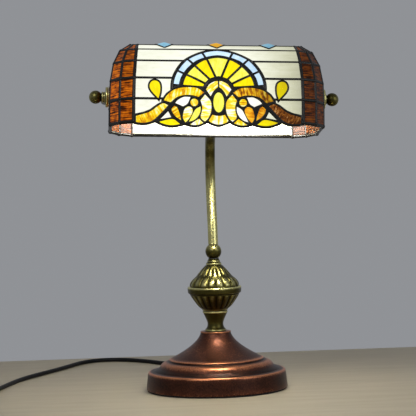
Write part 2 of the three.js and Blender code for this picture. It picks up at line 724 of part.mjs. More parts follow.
// The pieces on one pivot, in the shade's frame; side is -1 or 1.
function makePivot(side, label, collarLength) {
  const turn = (geometry) => {
    const laid = alongX(geometry);
    return solid(side < 0 ? laid.rotateZ(Math.PI) : laid);
  };
  const inner = SHADE_WIDTH / 2;
  const collarStart = eyeOuter + GAP;
  const ballStart = collarStart + collarLength;
  const ballCentre = ballStart + FINIAL_RADIUS - 1.2;
  const bore = PIVOT_RADIUS + GAP;
  const depth = ballCentre; // the blind hole ends at the ball's middle
  const finial = [[0, depth], [bore, depth], [bore, collarStart], [COLLAR_RING_RADIUS, collarStart]];
  const rings = collarLength > 3 ? 2 : 1;
  for (let i = 0; i < rings; i++) {
    const from = collarStart + (collarLength * i) / rings;
    const step = collarLength / rings;
    finial.push([COLLAR_RING_RADIUS, from + step * 0.6], [COLLAR_RING_RADIUS - 1, from + step * 0.85]);
  }
  const start = Math.acos((ballCentre - ballStart) / FINIAL_RADIUS);
  const steps = 9;
  for (let i = 0; i <= steps; i++) {
    const a = (Math.PI - start) * (1 - i / steps);
    finial.push([FINIAL_RADIUS * Math.sin(a), ballCentre + FINIAL_RADIUS * Math.cos(a)]);
  }
  const plate = [
    [bore, inner + GAP],
    [END_PLATE_RADIUS, inner + GAP],
    [END_PLATE_RADIUS, inner + GAP + END_PLATE_THICKNESS],
    [bore, inner + GAP + END_PLATE_THICKNESS],
  ];
  const headEnd = shankStart + SCREW_HEAD_THICKNESS;
  const screw = () =>
    turned(
      [
        [0, shankStart],
        [SCREW_HEAD_RADIUS, shankStart],
        [SCREW_HEAD_RADIUS, headEnd],
        [PIVOT_RADIUS, headEnd],
        [PIVOT_RADIUS, depth - GAP],
        [0, depth - GAP],
      ],
      32,
    );
  const nipple = () =>
    turnedRing(
      [
        [NIPPLE_BORE, shankStart],
        [PIVOT_RADIUS, shankStart],
        [PIVOT_RADIUS, depth - GAP],
        [NIPPLE_BORE, depth - GAP],
      ],
      32,
    );
  return [
    mesh(`end_plate_${label}`, turn(turnedRing(plate, 28)), brass()),
    mesh(`finial_${label}`, turn(turned(finial, 24)), brass()),
    side < 0 ? mesh("pivot_screw", turn(screw()), brass()) : mesh("pivot_nipple", turn(nipple()), brass()),
  ];
}

// The lampholder hangs on the hollow nipple inside the right end, with the bulb pointing left.
function makeLight() {
  const back = shankStart - GAP;
  const mouth = back - HOLDER_LENGTH;
  const wellFloor = back - 22;
  const well = BULB_CAP_RADIUS + 2 * GAP;
  const holder = turned(
    [
      [0, back],
      [9, back],
      [HOLDER_RADIUS - 3, back - 8],
      [HOLDER_RADIUS, back - 14],
      [HOLDER_RADIUS, mouth + 1],
      [HOLDER_RADIUS - 1, mouth],
      [well, mouth],
      [well, wellFloor],
      [0, wellFloor],
    ],
    28,
  );
  const capEnd = wellFloor - GAP;
  const neckStart = mouth - 2;
  const cap = turned(
    [
      [0, capEnd],
      [4, capEnd],
      [BULB_CAP_RADIUS, capEnd - 3],
      [BULB_CAP_RADIUS, neckStart],
      [0, neckStart],
    ],
    24,
  );
  const tip = capEnd - BULB_LENGTH;
  const centre = tip + BULB_RADIUS;
  const neckEnd = neckStart - GAP;
  const from = Math.PI / 4; // the neck's cone meets the globe here
  const steps = 9;
  const skin = (inset) => {
    const line = [[BULB_CAP_RADIUS + 2 - inset, neckEnd]];
    for (let i = 0; i <= steps; i++) {
      const a = from + ((Math.PI - from) * i) / steps;
      const r = BULB_RADIUS - inset;
      line.push([r * Math.sin(a), centre + r * Math.cos(a)]);
    }
    return line;
  };
  // Blown glass, open where the cap closes it.
  const globe = [...skin(0), ...skin(BULB_WALL).reverse()];
  return [
    mesh("lampholder", solid(alongX(holder)), blackPlastic()),
    mesh("bulb_cap", solid(alongX(cap)), steel()),
    mesh("bulb_globe", solid(alongX(turnedRing(globe, 24))), whitePlastic()),
  ];
}

// ---------------------------------------------------------------- cord, switch and plug
const switchStart = v3(-288, -13, SWITCH_CORD_HEIGHT);
const switchAlong = v3(-0.1, -1, 0).normalize();
const coilCentre = v3(-334, -140, COIL_LIFT);
const lay = CORD_RADIUS + 0.05; // height of the cord's centreline where it lies on the table

// From the strain relief, over the table behind the lamp and round to its left, to the switch.
const longLead = [
  v3(0, BASE_RADIUS + RELIEF_LENGTH - 2, EXIT_HEIGHT),
  v3(-1, 132, 8.2),
  v3(-5, 152, 5.6),
  v3(-13, 178, 3.2),
  v3(-26, 205, lay),
  v3(-43, 234, lay),
  v3(-62, 262, lay),
  v3(-83, 288, lay),
  v3(-106, 308, lay),
  v3(-131, 317, lay),
  v3(-153, 311, lay),
  v3(-170, 293, lay),
  v3(-183, 267, lay),
  v3(-197, 237, lay),
  v3(-214, 204, lay),
  v3(-232, 170, lay),
  v3(-248, 133, lay),
  v3(-260, 95, lay),
  v3(-270, 57, lay),
  v3(-278, 24, 3.6),
  v3(-285, 4, 6),
  switchStart,
];

// From the switch to the coil.
const shortLead = [
  switchStart.clone().addScaledVector(switchAlong, SWITCH_LENGTH + 2 * GAP),
  v3(-295.6, -90, 4.8),
  v3(-296.8, -104, 3.2),
  v3(-297.5, -124.4, lay),
];

const coilInner = COIL_MEAN_RADIUS - COIL_TURNS_WIDE * CORD_RADIUS;
const coilOuter = COIL_MEAN_RADIUS + COIL_TURNS_WIDE * CORD_RADIUS;
const coilTop = COIL_LIFT + COIL_LAYERS * 2 * CORD_RADIUS;

// The coil's room, which the cord's two ends run up to.
function coilSpace() {
  const room = bar(coilOuter + GAP, -1, 3 * coilTop, ROUND_SIDES);
  return solid(room.translate(coilCentre.x, coilCentre.y, 0));
}

function makeRelief() {
  const start = BASE_RADIUS - 8;
  const end = BASE_RADIUS + RELIEF_LENGTH - 2 - GAP;
  const neck = RELIEF_RADIUS - 0.9;
  const profile = [
    [0, start],
    [neck, start],
    [neck, BASE_RADIUS + GAP],
    [RELIEF_RADIUS + 1, BASE_RADIUS + GAP],
    [RELIEF_RADIUS + 1, BASE_RADIUS + 2.2],
    [RELIEF_RADIUS, BASE_RADIUS + 3],
    [CORD_RADIUS + 0.9, end],
    [0, end],
  ];
  // Turned about Z, then laid along +Y.
  const body = turned(profile, SMALL_SIDES).rotateX(-Math.PI / 2).translate(0, 0, EXIT_HEIGHT);
  return solid(body);
}

// A box with rounded vertical edges, standing on z = 0, its length along +X from x = 0.
function roundedBox(length, width, height, radius, bevel) {
  const outline = new THREE.Shape();
  const [l, w] = [length - bevel, width / 2 - bevel];
  const r = radius;
  outline.moveTo(bevel + r, -w);
  outline.lineTo(l - r, -w).absarc(l - r, -w + r, r, -Math.PI / 2, 0, false);
  outline.lineTo(l, w - r).absarc(l - r, w - r, r, 0, Math.PI / 2, false);
  outline.lineTo(bevel + r, w).absarc(bevel + r, w - r, r, Math.PI / 2, Math.PI, false);
  outline.lineTo(bevel, -w + r).absarc(bevel + r, -w + r, r, Math.PI, 1.5 * Math.PI, false);
  const made = new THREE.ExtrudeGeometry(outline, {
    depth: height - 2 * bevel,
    bevelThickness: bevel,
    bevelSize: bevel,
    bevelSegments: 2,
    curveSegments: 5,
  });
  return made.translate(0, 0, bevel);
}

// The rocker tips about a pin across its well; its top stands proud of the housing.
const rockerPin = switchStart
  .clone()
  .addScaledVector(switchAlong, GAP + SWITCH_LENGTH / 2)
  .setZ(SWITCH_HEIGHT - ROCKER_DEPTH + ROCKER_THICKNESS / 2 + 1);

function makeSwitch() {
  const yaw = Math.atan2(switchAlong.y, switchAlong.x);
  const place = new THREE.Matrix4().makeRotationZ(yaw);
  const start = switchStart.clone().addScaledVector(switchAlong, GAP).setZ(0);
  place.setPosition(start);
  const shell = roundedBox(SWITCH_LENGTH, SWITCH_WIDTH, SWITCH_HEIGHT, 7, 2.5);
  const margin = 1.5;
  const well = new THREE.BoxGeometry(
    ROCKER_LENGTH + 2 * margin,
    ROCKER_WIDTH + 2 * GAP,
    2 * ROCKER_DEPTH + 2,
  ).translate(SWITCH_LENGTH / 2, 0, SWITCH_HEIGHT);
  const housing = solid(shell).subtract(solid(well)).transform(place.toArray());
  const rocker = new THREE.Shape();
  const [half, thick] = [ROCKER_LENGTH / 2, ROCKER_THICKNESS / 2];
  const dish = 0.8; // each half of the top falls towards the middle by this much
  rocker.moveTo(-half, -thick + 1.4);
  rocker.lineTo(-half * 0.3, -thick);
  rocker.lineTo(half * 0.3, -thick);
  rocker.lineTo(half, -thick + 1.4);
  rocker.lineTo(half, thick);
  rocker.lineTo(0, thick - dish);
  rocker.lineTo(-half, thick);
  rocker.closePath();
  const tip = new THREE.ExtrudeGeometry(rocker, { depth: ROCKER_WIDTH, bevelEnabled: false });
  tip.translate(0, 0, -ROCKER_WIDTH / 2).rotateX(Math.PI / 2);
  tip.rotateY(THREE.MathUtils.degToRad(ROCKER_TIP_DEG));
  const turnedTo = new THREE.Matrix4().makeRotationZ(yaw).setPosition(rockerPin);
  tip.applyMatrix4(turnedTo);
  return [
    mesh("switch_housing", housing, blackPlastic()),
    mesh("switch_rocker", solid(tip), blackPlastic()),
  ];
}

function makePlug() {
  const neckLength = 22;
  const tail = 8; // the last of the cord, before the neck widens
  const neckStart = coilCentre.y - Math.sqrt(coilOuter ** 2 - (coilOuter - CORD_RADIUS) ** 2) - 1;
  const x = coilCentre.x + coilOuter - CORD_RADIUS;
  const z = PLUG_HEIGHT / 2;
  const body = roundedBox(PLUG_LENGTH, PLUG_WIDTH, PLUG_HEIGHT, 6, 2);
  body.rotateZ(-Math.PI / 2).translate(x, neckStart - neckLength, 0);
  // Turned about Z, then laid along -Y.
  const neck = turned(
    [
      [0, 0],
      [CORD_RADIUS, 0],
      [CORD_RADIUS, tail],
      [CORD_RADIUS + 0.8, tail],
      [5.4, neckLength],
      [5.4, neckLength + 4],
      [0, neckLength + 4],
    ],
    SMALL_SIDES,
  );
  neck.rotateX(Math.PI / 2).translate(x, neckStart, z);
  const pinRoot = neckStart - neckLength - PLUG_LENGTH + 3;
  const pins = [-1, 1].map((side) => {
    const pin = bar(PIN_RADIUS, 0, PIN_LENGTH + 3, 14).rotateX(Math.PI / 2);
    return solid(pin.translate(x + (side * PIN_SPACING) / 2, pinRoot, z));
  });
  return solid(body).add(solid(neck)).add(pins[0]).add(pins[1]).subtract(coilSpace());
}

function makeCord() {
  const tube = (points, steps) => solid(rod(new THREE.CatmullRomCurve3(points), CORD_RADIUS, 8, steps));
  const coil = turnedRing([
    [coilInner + 0.6, COIL_LIFT],
    [coilOuter - 0.6, COIL_LIFT],
    [coilOuter, COIL_LIFT + 1.6],
    [coilOuter, coilTop - 1.6],
    [coilOuter - 0.6, coilTop],
    [coilInner + 0.6, coilTop],
    [coilInner, coilTop - 1.6],
    [coilInner, COIL_LIFT + 1.6],
  ]).translate(coilCentre.x, coilCentre.y, 0);
  const band = (grow) => {
    const [low, high] = [coilInner - GAP - grow, coilOuter + GAP + grow];
    const [bottom, top] = [COIL_LIFT - GAP - grow, coilTop + GAP + grow];
    const depth = grow > 0 ? TIE_WIDTH : 2 * TIE_WIDTH;
    return new THREE.BoxGeometry(high - low, depth, top - bottom).translate(
      coilCentre.x - (low + high) / 2,
      coilCentre.y,
      (bottom + top) / 2,
    );
  };
  const tie = solid(band(TIE_THICKNESS)).subtract(solid(band(0)));
  return [
    mesh("strain_relief", makeRelief(), blackPlastic()),
    mesh("cord_long_lead", tube(longLead, 54), cordBlack()),
    ...makeSwitch(),
    mesh("cord_short_lead", tube(shortLead, 8).subtract(coilSpace()), cordBlack()),
    mesh("cord_coil", solid(coil), cordBlack()),
    mesh("cord_tie", tie, blackPlastic()),
    mesh("plug", makePlug(), blackPlastic()),
  ];
}

// ---------------------------------------------------------------- assembly
const lamp = new THREE.Group();
lamp.add(...makeBase(), ...makeColumn());
lamp.add(mesh("gooseneck_stem", makeStem(), brass()));

const shade = new THREE.Group();
shade.add(...makeShade(), ...makeJewels());
shade.add(...makePivot(-1, "left", LEFT_COLLAR_LENGTH));
shade.add(...makePivot(1, "right", RIGHT_COLLAR_LENGTH));
shade.add(...makeLight());
shade.position.copy(pivot);
shade.rotation.x = THREE.MathUtils.degToRad(-SHADE_TILT_DEG);

const level = new THREE.Group();
level.add(mesh("yoke_hub", makeHub(), brass()));
level.add(mesh("yoke_arm_left", makeArm(-1), brass()));
level.add(mesh("yoke_arm_right", makeArm(1), brass()));
level.add(shade);
level.position.copy(hub).negate();

// The head turns about the hub's middle.
const head = new THREE.Group();
head.add(level);
head.position.copy(hub);
head.rotation.y = headCant;
lamp.add(head, ...makeCord());

export default lamp;
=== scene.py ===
"""Stained glass table lamp: the looks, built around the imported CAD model.

Lengths in this script are in millimetres, in the row frame (+Z up, front towards -Y), and become
metres where a mesh is made. The shade's own frame has X along its pivots and its origin between them.
"""

import json
import math
import random

import bmesh
import bpy
import numpy as np
from mathutils import Matrix, Vector
from mathutils.geometry import delaunay_2d_cdt


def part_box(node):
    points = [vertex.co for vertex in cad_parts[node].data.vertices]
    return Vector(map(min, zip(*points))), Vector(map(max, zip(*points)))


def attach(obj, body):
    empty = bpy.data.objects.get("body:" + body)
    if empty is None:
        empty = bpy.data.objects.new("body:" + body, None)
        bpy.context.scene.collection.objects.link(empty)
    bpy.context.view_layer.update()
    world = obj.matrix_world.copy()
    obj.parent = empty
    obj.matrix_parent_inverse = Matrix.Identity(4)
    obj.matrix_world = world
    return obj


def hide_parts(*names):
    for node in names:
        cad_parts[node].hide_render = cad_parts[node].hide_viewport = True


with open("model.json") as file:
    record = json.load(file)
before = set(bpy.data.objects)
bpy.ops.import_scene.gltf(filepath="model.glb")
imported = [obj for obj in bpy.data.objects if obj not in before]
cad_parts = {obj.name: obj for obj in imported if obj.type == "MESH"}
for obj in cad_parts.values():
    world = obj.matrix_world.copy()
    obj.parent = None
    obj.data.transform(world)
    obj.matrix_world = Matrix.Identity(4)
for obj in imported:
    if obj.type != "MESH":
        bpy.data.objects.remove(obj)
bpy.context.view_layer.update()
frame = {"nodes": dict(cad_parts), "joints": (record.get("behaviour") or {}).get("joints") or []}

MM = 0.001
RIM_DROP = 37.0
SHADE_HALF_DEPTH = 59.0
SPRING_DROP = 9.8
ARCH_RISE = 72.0
ARCH_FACETS = 9
GLASS = 3.0
SOLDER_PROUD = 0.6
SOLDER_HALF = 2.3
TILT = math.radians(7.8)


# ---------------------------------------------------------------- camera
# A long lens, a little left of the lamp and just above its shade's height.
CAMERA_PLACE = Vector((-0.1405, -2.348, 0.322))
CAMERA_TARGET = Vector((-0.0051, 0.0, 0.2241))
CAMERA_ROLL = math.radians(1.65)
LENS = 165.3
SENSOR = 36.0


def make_camera():
    data = bpy.data.cameras.new("camera")
    data.lens, data.sensor_width = LENS, SENSOR
    data.clip_start, data.clip_end = 0.05, 20.0
    camera = bpy.data.objects.new("camera", data)
    bpy.context.scene.collection.objects.link(camera)
    back = (CAMERA_PLACE - CAMERA_TARGET).normalized()
    right = Vector((0, 0, 1)).cross(back).normalized()
    up = back.cross(right)
    c, s = math.cos(CAMERA_ROLL), math.sin(CAMERA_ROLL)
    rolled_right, rolled_up = c * right - s * up, s * right + c * up
    turn = Matrix((rolled_right, rolled_up, back)).transposed().to_4x4()
    camera.matrix_world = Matrix.Translation(CAMERA_PLACE) @ turn
    bpy.context.scene.camera = camera


# ---------------------------------------------------------------- materials
class Nodes:
    """Builds a material's node tree with short calls."""

    def __init__(self, name):
        self.material = bpy.data.materials.new(name)
        self.material.use_nodes = True
        self.tree = self.material.node_tree
        self.shader = self.tree.nodes["Principled BSDF"]

    def add(self, kind, settings=None, **inputs):
        node = self.tree.nodes.new(kind)
        for key, value in (settings or {}).items():
            setattr(node, key, value)
        for key, value in inputs.items():
            self.feed(node, key.replace("_", " "), value)
        return node

    def feed(self, node, key, value):
        socket = node.inputs[key]
        if isinstance(value, bpy.types.NodeSocket):
            self.tree.links.new(value, socket)
        else:
            socket.default_value = value

    def set(self, **inputs):
        for key, value in inputs.items():
            self.feed(self.shader, key.replace("_", " "), value)

    def object_space(self, scale=(1, 1, 1)):
        place = self.add("ShaderNodeTexCoord").outputs["Object"]
        return self.add("ShaderNodeMapping", None, Vector=place, Scale=scale).outputs["Vector"]

    def uv(self, scale=(1, 1, 1)):
        place = self.add("ShaderNodeTexCoord").outputs["UV"]
        return self.add("ShaderNodeMapping", None, Vector=place, Scale=scale).outputs["Vector"]

    def noise(self, vector, scale, detail=4.0, roughness=0.55, distortion=0.0):
        return self.add(
            "ShaderNodeTexNoise", None, Vector=vector, Scale=scale, Detail=detail,
            Roughness=roughness, Distortion=distortion,
        ).outputs["Fac"]

    def ramp(self, factor, stops, interpolation="LINEAR"):
        node = self.add("ShaderNodeValToRGB", None, Fac=factor)
        node.color_ramp.interpolation = interpolation
        elements = node.color_ramp.elements
        while len(elements) < len(stops):
            elements.new(0.5)
        for element, (position, color) in zip(elements, stops):
            element.position = position
            element.color = (*color, 1.0)
        return node.outputs["Color"]

    def mix(self, factor, a, b, blend="MIX"):
        node = self.add("ShaderNodeMix", {"data_type": "RGBA", "blend_type": blend})
        self.feed(node, 0, factor)
        for socket, value in ((node.inputs[6], a), (node.inputs[7], b)):
            if isinstance(value, bpy.types.NodeSocket):
                self.tree.links.new(value, socket)
            else:
                socket.default_value = (*value, 1.0)
        return node.outputs[2]

    def math(self, operation, a, b=0.0, clamp=False):
        node = self.add("ShaderNodeMath", {"operation": operation, "use_clamp": clamp})
        for socket, value in zip(node.inputs, (a, b)):
            if isinstance(value, bpy.types.NodeSocket):
                self.tree.links.new(value, socket)
            else:
                socket.default_value = value
        return node.outputs[0]

    def span(self, value, low, high, to_low, to_high):
        return self.add(
            "ShaderNodeMapRange", {"clamp": True}, Value=value, From_Min=low, From_Max=high,
            To_Min=to_low, To_Max=to_high,
        ).outputs["Result"]

    def attribute(self, name):
        return self.add("ShaderNodeAttribute", {"attribute_name": name}).outputs["Fac"]

    def bump(self, height, strength, distance):
        return self.add(
            "ShaderNodeBump", None, Height=height, Strength=strength, Distance=distance
        ).outputs["Normal"]


def glass_material(name, stops, base, streak=(6.0, 45.0), glow=1.0, ripple=0.35, roughness=0.22,
                   dim=None):
    """Art glass lit from behind: its colour runs along streaks, and "glow" holds the light's strength.

    dim is the tint that multiplies the colour where the light behind it is weak.
    """
    n = Nodes(name)
    place = n.uv((streak[0], streak[1], 1.0))
    streaks = n.noise(place, 1.0, 5.0, 0.6, 0.6)
    cloud = n.noise(n.uv((14, 14, 1)), 1.0, 3.0, 0.5)
    both = n.math("ADD", n.math("MULTIPLY", streaks, 0.72), n.math("MULTIPLY", cloud, 0.28))
    color = n.ramp(both, stops)
    if dim:
        lit = n.span(n.attribute("glow"), 0.4, 0.95, 0.0, 1.0)
        tint = n.ramp(lit, [(0.0, dim), (1.0, (1, 1, 1))])
        color = n.mix(1.0, color, tint, "MULTIPLY")
    n.set(
        Base_Color=n.mix(0.15, base, color),
        Roughness=roughness,
        Emission_Color=color,
        Emission_Strength=n.math("MULTIPLY", n.attribute("glow"), glow),
        Normal=n.bump(streaks, ripple, 0.0006),
    )
    n.shader.inputs["Specular IOR Level"].default_value = 0.12 if sum(base) < 0.03 else 0.22
    return n.material


def patina_and_sheen_metal(name, dark, middle, bright, roughness=(0.5, 0.3), grain=900.0, metallic=1.0,
               speckle=0.3, coat=0.0):
    """Patinated metal, finely mottled: dark in the hollows and bright where its per-point value is high; that
    value holds rubbed wear and painted highlights together.
    """
    n = Nodes(name)
    place = n.object_space()
    fine = n.noise(place, grain, 3.0, 0.6)
    broad = n.noise(place, 55.0, 4.0, 0.6)
    specks = n.math("MULTIPLY", n.math("SUBTRACT", fine, 0.5), speckle)
    clouds = n.math("MULTIPLY", n.math("SUBTRACT", broad, 0.5), 0.5)
    amount = n.math("ADD", n.attribute("wear_and_sheen"), specks)
    amount = n.math("ADD", amount, clouds, clamp=True)
    color = n.ramp(amount, [(0.0, dark), (0.45, middle), (1.0, bright)])
    n.shader.inputs["Coat Weight"].default_value = coat
    n.shader.inputs["Coat Roughness"].default_value = 0.38
    n.set(
        Base_Color=color,
        Metallic=metallic,
        Roughness=n.span(amount, 0.0, 1.0, roughness[0], roughness[1]),
        Normal=n.bump(n.math("ADD", fine, n.math("MULTIPLY", broad, 0.6)), 0.12, 0.0003),
    )
    return n.material


def plain_material(name, color, roughness, metallic=0.0, grain=600.0, depth=0.1, variation=0.15,
                   gloss=0.5):
    """Moulded, cast or cut stuff of one colour, with a fine grain and a slight change of shade."""
    n = Nodes(name)
    place = n.object_space()
    fine = n.noise(place, grain, 4.0, 0.6)
    broad = n.noise(place, 30.0, 3.0, 0.5)
    lighter = tuple(min(1.0, c * (1 + variation) + 0.001) for c in color)
    darker = tuple(c * (1 - variation) for c in color)
    n.shader.inputs["Specular IOR Level"].default_value = gloss
    n.set(
        Base_Color=n.ramp(broad, [(0.3, darker), (0.7, lighter)]),
        Metallic=metallic,
        Roughness=n.span(fine, 0.3, 0.7, roughness * 0.9, min(1.0, roughness * 1.12)),
        Normal=n.bump(fine, depth, 0.0003),
    )
    return n.material


def emitting_material(name, color, strength):
    n = Nodes(name)
    glow = n.noise(n.object_space(), 40.0, 2.0)
    brighter = tuple(min(1.0, c * 1.05) for c in color)
    n.set(
        Base_Color=(*color, 1.0),
        Roughness=0.35,
        Emission_Color=n.ramp(glow, [(0.0, color), (1.0, brighter)]),
        Emission_Strength=strength,
    )
    return n.material


CREAM = [(0.32, (0.74, 0.75, 0.62)), (0.5, (0.84, 0.86, 0.75)), (0.68, (0.91, 0.92, 0.86))]
MATERIALS = {}


def make_glasses(m):
    amber = [(0.42, (0.015, 0.003, 0.0)), (0.47, (0.16, 0.028, 0.0)), (0.52, (0.42, 0.085, 0.001)),
             (0.60, (0.72, 0.19, 0.003))]
    yellow = [(0.35, (0.86, 0.60, 0.0)), (0.5, (0.92, 0.76, 0.0)), (0.65, (0.94, 0.86, 0.0))]
    light_yellow = [(0.35, (0.76, 0.72, 0.04)), (0.5, (0.86, 0.84, 0.09)), (0.65, (0.92, 0.90, 0.22))]
    ribbon = [(0.42, (0.55, 0.19, 0.0)), (0.48, (0.90, 0.55, 0.001)), (0.53, (0.94, 0.76, 0.01)),
              (0.60, (0.96, 0.93, 0.50))]
    bright = [(0.42, (0.88, 0.52, 0.001)), (0.47, (0.93, 0.78, 0.01)), (0.51, (0.95, 0.90, 0.30)),
              (0.56, (0.96, 0.95, 0.86))]
    sunset = [(0.43, (0.09, 0.022, 0.0)), (0.48, (0.50, 0.17, 0.0)), (0.53, (0.88, 0.50, 0.002)),
              (0.61, (0.95, 0.82, 0.15))]
    mottled = [(0.40, (0.03, 0.007, 0.001)), (0.5, (0.20, 0.055, 0.004)), (0.58, (0.45, 0.17, 0.02)),
               (0.66, (0.80, 0.62, 0.35))]
    orange = [(0.38, (0.35, 0.08, 0.001)), (0.5, (0.80, 0.33, 0.004)), (0.64, (0.94, 0.62, 0.04))]
    blue = [(0.32, (0.42, 0.64, 0.90)), (0.5, (0.58, 0.77, 0.93)), (0.68, (0.78, 0.90, 0.95))]
    white = [(0.3, (0.84, 0.82, 0.66)), (0.6, (0.95, 0.94, 0.88))]
    m["cream"] = glass_material("cream_glass", CREAM, (0.30, 0.29, 0.23), (5.0, 22.0),
                                dim=(1.0, 1.0, 0.78))
    m["white"] = glass_material("white_glass", white, (0.30, 0.29, 0.25), (5.0, 16.0), dim=(1.0, 1.0, 0.9))
    m["blue"] = glass_material("sky_blue_glass", blue, (0.10, 0.16, 0.24), (6.0, 18.0), dim=(0.7, 0.85, 1.0))
    m["yellow"] = glass_material("yellow_glass", yellow, (0.16, 0.11, 0.002), (8.0, 30.0))
    m["light_yellow"] = glass_material("light_yellow_glass", light_yellow, (0.16, 0.14, 0.02), (8.0, 30.0))
    m["ribbon"] = glass_material("ribbon_glass", ribbon, (0.14, 0.07, 0.006), (30.0, 4.0))
    m["bright"] = glass_material("bright_ribbon_glass", bright, (0.16, 0.12, 0.05), (28.0, 4.0))
    m["sunset"] = glass_material("sunset_ribbon_glass", sunset, (0.10, 0.04, 0.004), (26.0, 4.0))
    m["mottled"] = glass_material("mottled_ribbon_glass", mottled, (0.03, 0.008, 0.001), (46.0, 16.0))
    m["orange"] = glass_material("orange_glass", orange, (0.12, 0.04, 0.002), (30.0, 8.0))
    m["amber"] = glass_material("amber_glass", amber, (0.010, 0.003, 0.0005), (4.5, 60.0), 1.0, 0.5, 0.3)
    amber_cut = [(0.3, (0.80, 0.33, 0.004)), (0.7, (0.95, 0.6, 0.03))]
    blue_cut = [(0.3, (0.18, 0.48, 0.70)), (0.7, (0.42, 0.76, 0.93))]
    m["amber_jewel"] = glass_material("amber_jewel_glass", amber_cut, (0.2, 0.07, 0.005), (10.0, 10.0),
                                      0.9, 0.1, 0.08)
    m["blue_jewel"] = glass_material("blue_jewel_glass", blue_cut, (0.06, 0.14, 0.2), (10.0, 10.0),
                                     0.9, 0.1, 0.08)


def make_materials():
    m = MATERIALS
    make_glasses(m)
    m["solder"] = plain_material("black_solder", (0.005, 0.0045, 0.004), 0.34, 0.0, 500.0, 0.5, 0.4, 0.35)
    m["copper"] = patina_and_sheen_metal("copper_patina", (0.010, 0.004, 0.0025), (0.085, 0.026, 0.013),
                             (0.66, 0.25, 0.11), (0.46, 0.34), 620.0, 0.95, 0.8, 0.16)
    m["brass"] = patina_and_sheen_metal("antique_brass", (0.010, 0.008, 0.002), (0.085, 0.075, 0.020), (0.72, 0.68, 0.30),
                            (0.40, 0.25), 700.0, 0.97, 0.3)
    m["steel"] = plain_material("zinc_steel", (0.55, 0.55, 0.53), 0.38, 0.9, 900.0, 0.1, 0.08)
    m["iron"] = plain_material("cast_iron", (0.035, 0.034, 0.033), 0.7, 0.5, 300.0, 0.6, 0.3)
    m["felt"] = plain_material("pad_felt", (0.010, 0.010, 0.010), 0.95, 0.0, 1800.0, 0.8, 0.3)
    m["moulding"] = plain_material("black_moulding", (0.008, 0.008, 0.009), 0.42, 0.0, 1500.0, 0.06, 0.2,
                                   0.35)
    m["cord"] = plain_material("cord_sheath", (0.003, 0.003, 0.004), 0.45, 0.0, 900.0, 0.05, 0.2, 0.15)
    m["bulb"] = emitting_material("bulb_opal", (1.0, 0.95, 0.86), 70.0)


# ---------------------------------------------------------------- mesh making
def piece(name, points, faces, body, materials, replaces=(), matrix=None, smooth=True,
          indices=None, attributes=None, uvs=None):
    """A mesh object from points in millimetres, riding on a CAD body."""
    array = np.array(points, float).reshape(-1, 3)
    if matrix is not None:
        rotation = np.array(matrix.to_3x3())
        array = array @ rotation.T + np.array(matrix.translation)
    mesh = bpy.data.meshes.new(name)
    mesh.from_pydata([tuple(p) for p in array * MM], [], [tuple(f) for f in faces])
    mesh.validate()
    for material in materials if isinstance(materials, (list, tuple)) else [materials]:
        mesh.materials.append(material)
    if indices is not None:
        mesh.polygons.foreach_set("material_index", indices)
    mesh.polygons.foreach_set("use_smooth", [smooth] * len(mesh.polygons))
    for key, values in (attributes or {}).items():
        mesh.attributes.new(key, "FLOAT", "POINT").data.foreach_set("value", [float(v) for v in values])
    if uvs is not None:
        layer = mesh.uv_layers.new(name="UVMap")
        loops = np.zeros(len(mesh.loops), np.int32)
        mesh.loops.foreach_get("vertex_index", loops)
        layer.data.foreach_set("uv", np.array(uvs, np.float32)[loops].ravel())
    made = bpy.data.objects.new(name, mesh)
    bpy.context.scene.collection.objects.link(made)
    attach(made, body)
    if replaces:
        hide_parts(*replaces)
    return made


def brass_piece(name, node, body, points, faces, wear_and_sheen, matrix=None):
    piece(name, points, faces, body, MATERIALS["brass"], (node,), matrix,
          attributes={"wear_and_sheen": wear_and_sheen})


def smoothstep(low, high, value):
    t = min(1.0, max(0.0, (value - low) / (high - low)))
    return t * t * (3 - 2 * t)


def turned(profile, sides=128, bump=None):
    """Points, faces and per-point values of a piece turned about Z. The profile's points are (radius, z,
    value), the value holding wear and painted highlight.

    bump(angle, index) is added to the radius. A profile that ends off the axis is joined to its start.
    """
    closed = profile[0][0] > 1e-6 or profile[-1][0] > 1e-6
    points, wear_and_sheen, rings = [], [], []
    for i, (radius, z, wear_with_sheen) in enumerate(profile):
        if radius < 1e-6:
            rings.append([len(points)])
            points.append((0.0, 0.0, z))
            wear_and_sheen.append(wear_with_sheen)
            continue
        rings.append(list(range(len(points), len(points) + sides)))
        for j in range(sides):
            angle = 2 * math.pi * j / sides
            push, relief_shift = bump(angle, i) if bump else (0.0, 0.0)
            r = radius + push
            points.append((r * math.cos(angle), r * math.sin(angle), z))
            wear_and_sheen.append(wear_with_sheen + relief_shift)
    faces = []
    pairs = list(zip(rings, rings[1:]))
    if closed:
        pairs.append((rings[-1], rings[0]))
    for a, b in pairs:
        if len(a) == 1 and len(b) == 1:
            continue
        for j in range(sides):
            k = (j + 1) % sides
            if len(a) == 1:
                faces.append((a[0], b[k], b[j]))
            elif len(b) == 1:
                faces.append((a[j], a[k], b[0]))
            else:
                faces.append((a[j], a[k], b[k], b[j]))
    return points, faces, wear_and_sheen


def rounded(profile, steps=5):
    """The profile again with its corners rounded by a Chaikin cut; each point keeps its value of wear and
    painted highlight.
    """
    for _ in range(steps):
        cut = [profile[0]]
        for a, b in zip(profile, profile[1:]):
            for t in (0.25, 0.75):
                cut.append(tuple(x + (y - x) * t for x, y in zip(a, b)))
        cut.append(profile[-1])
        profile = cut
    return profile


def flipped(faces):
    return [tuple(reversed(f)) for f in faces]


def between(b, m1, c, m2, t):
    """The cubic from b to c, which it leaves and meets with the tangents m1 and m2."""
    h = (2 * t**3 - 3 * t**2 + 1, t**3 - 2 * t**2 + t, -2 * t**3 + 3 * t**2, t**3 - t**2)
    return h[0] * b + h[1] * m1 + h[2] * c + h[3] * m2


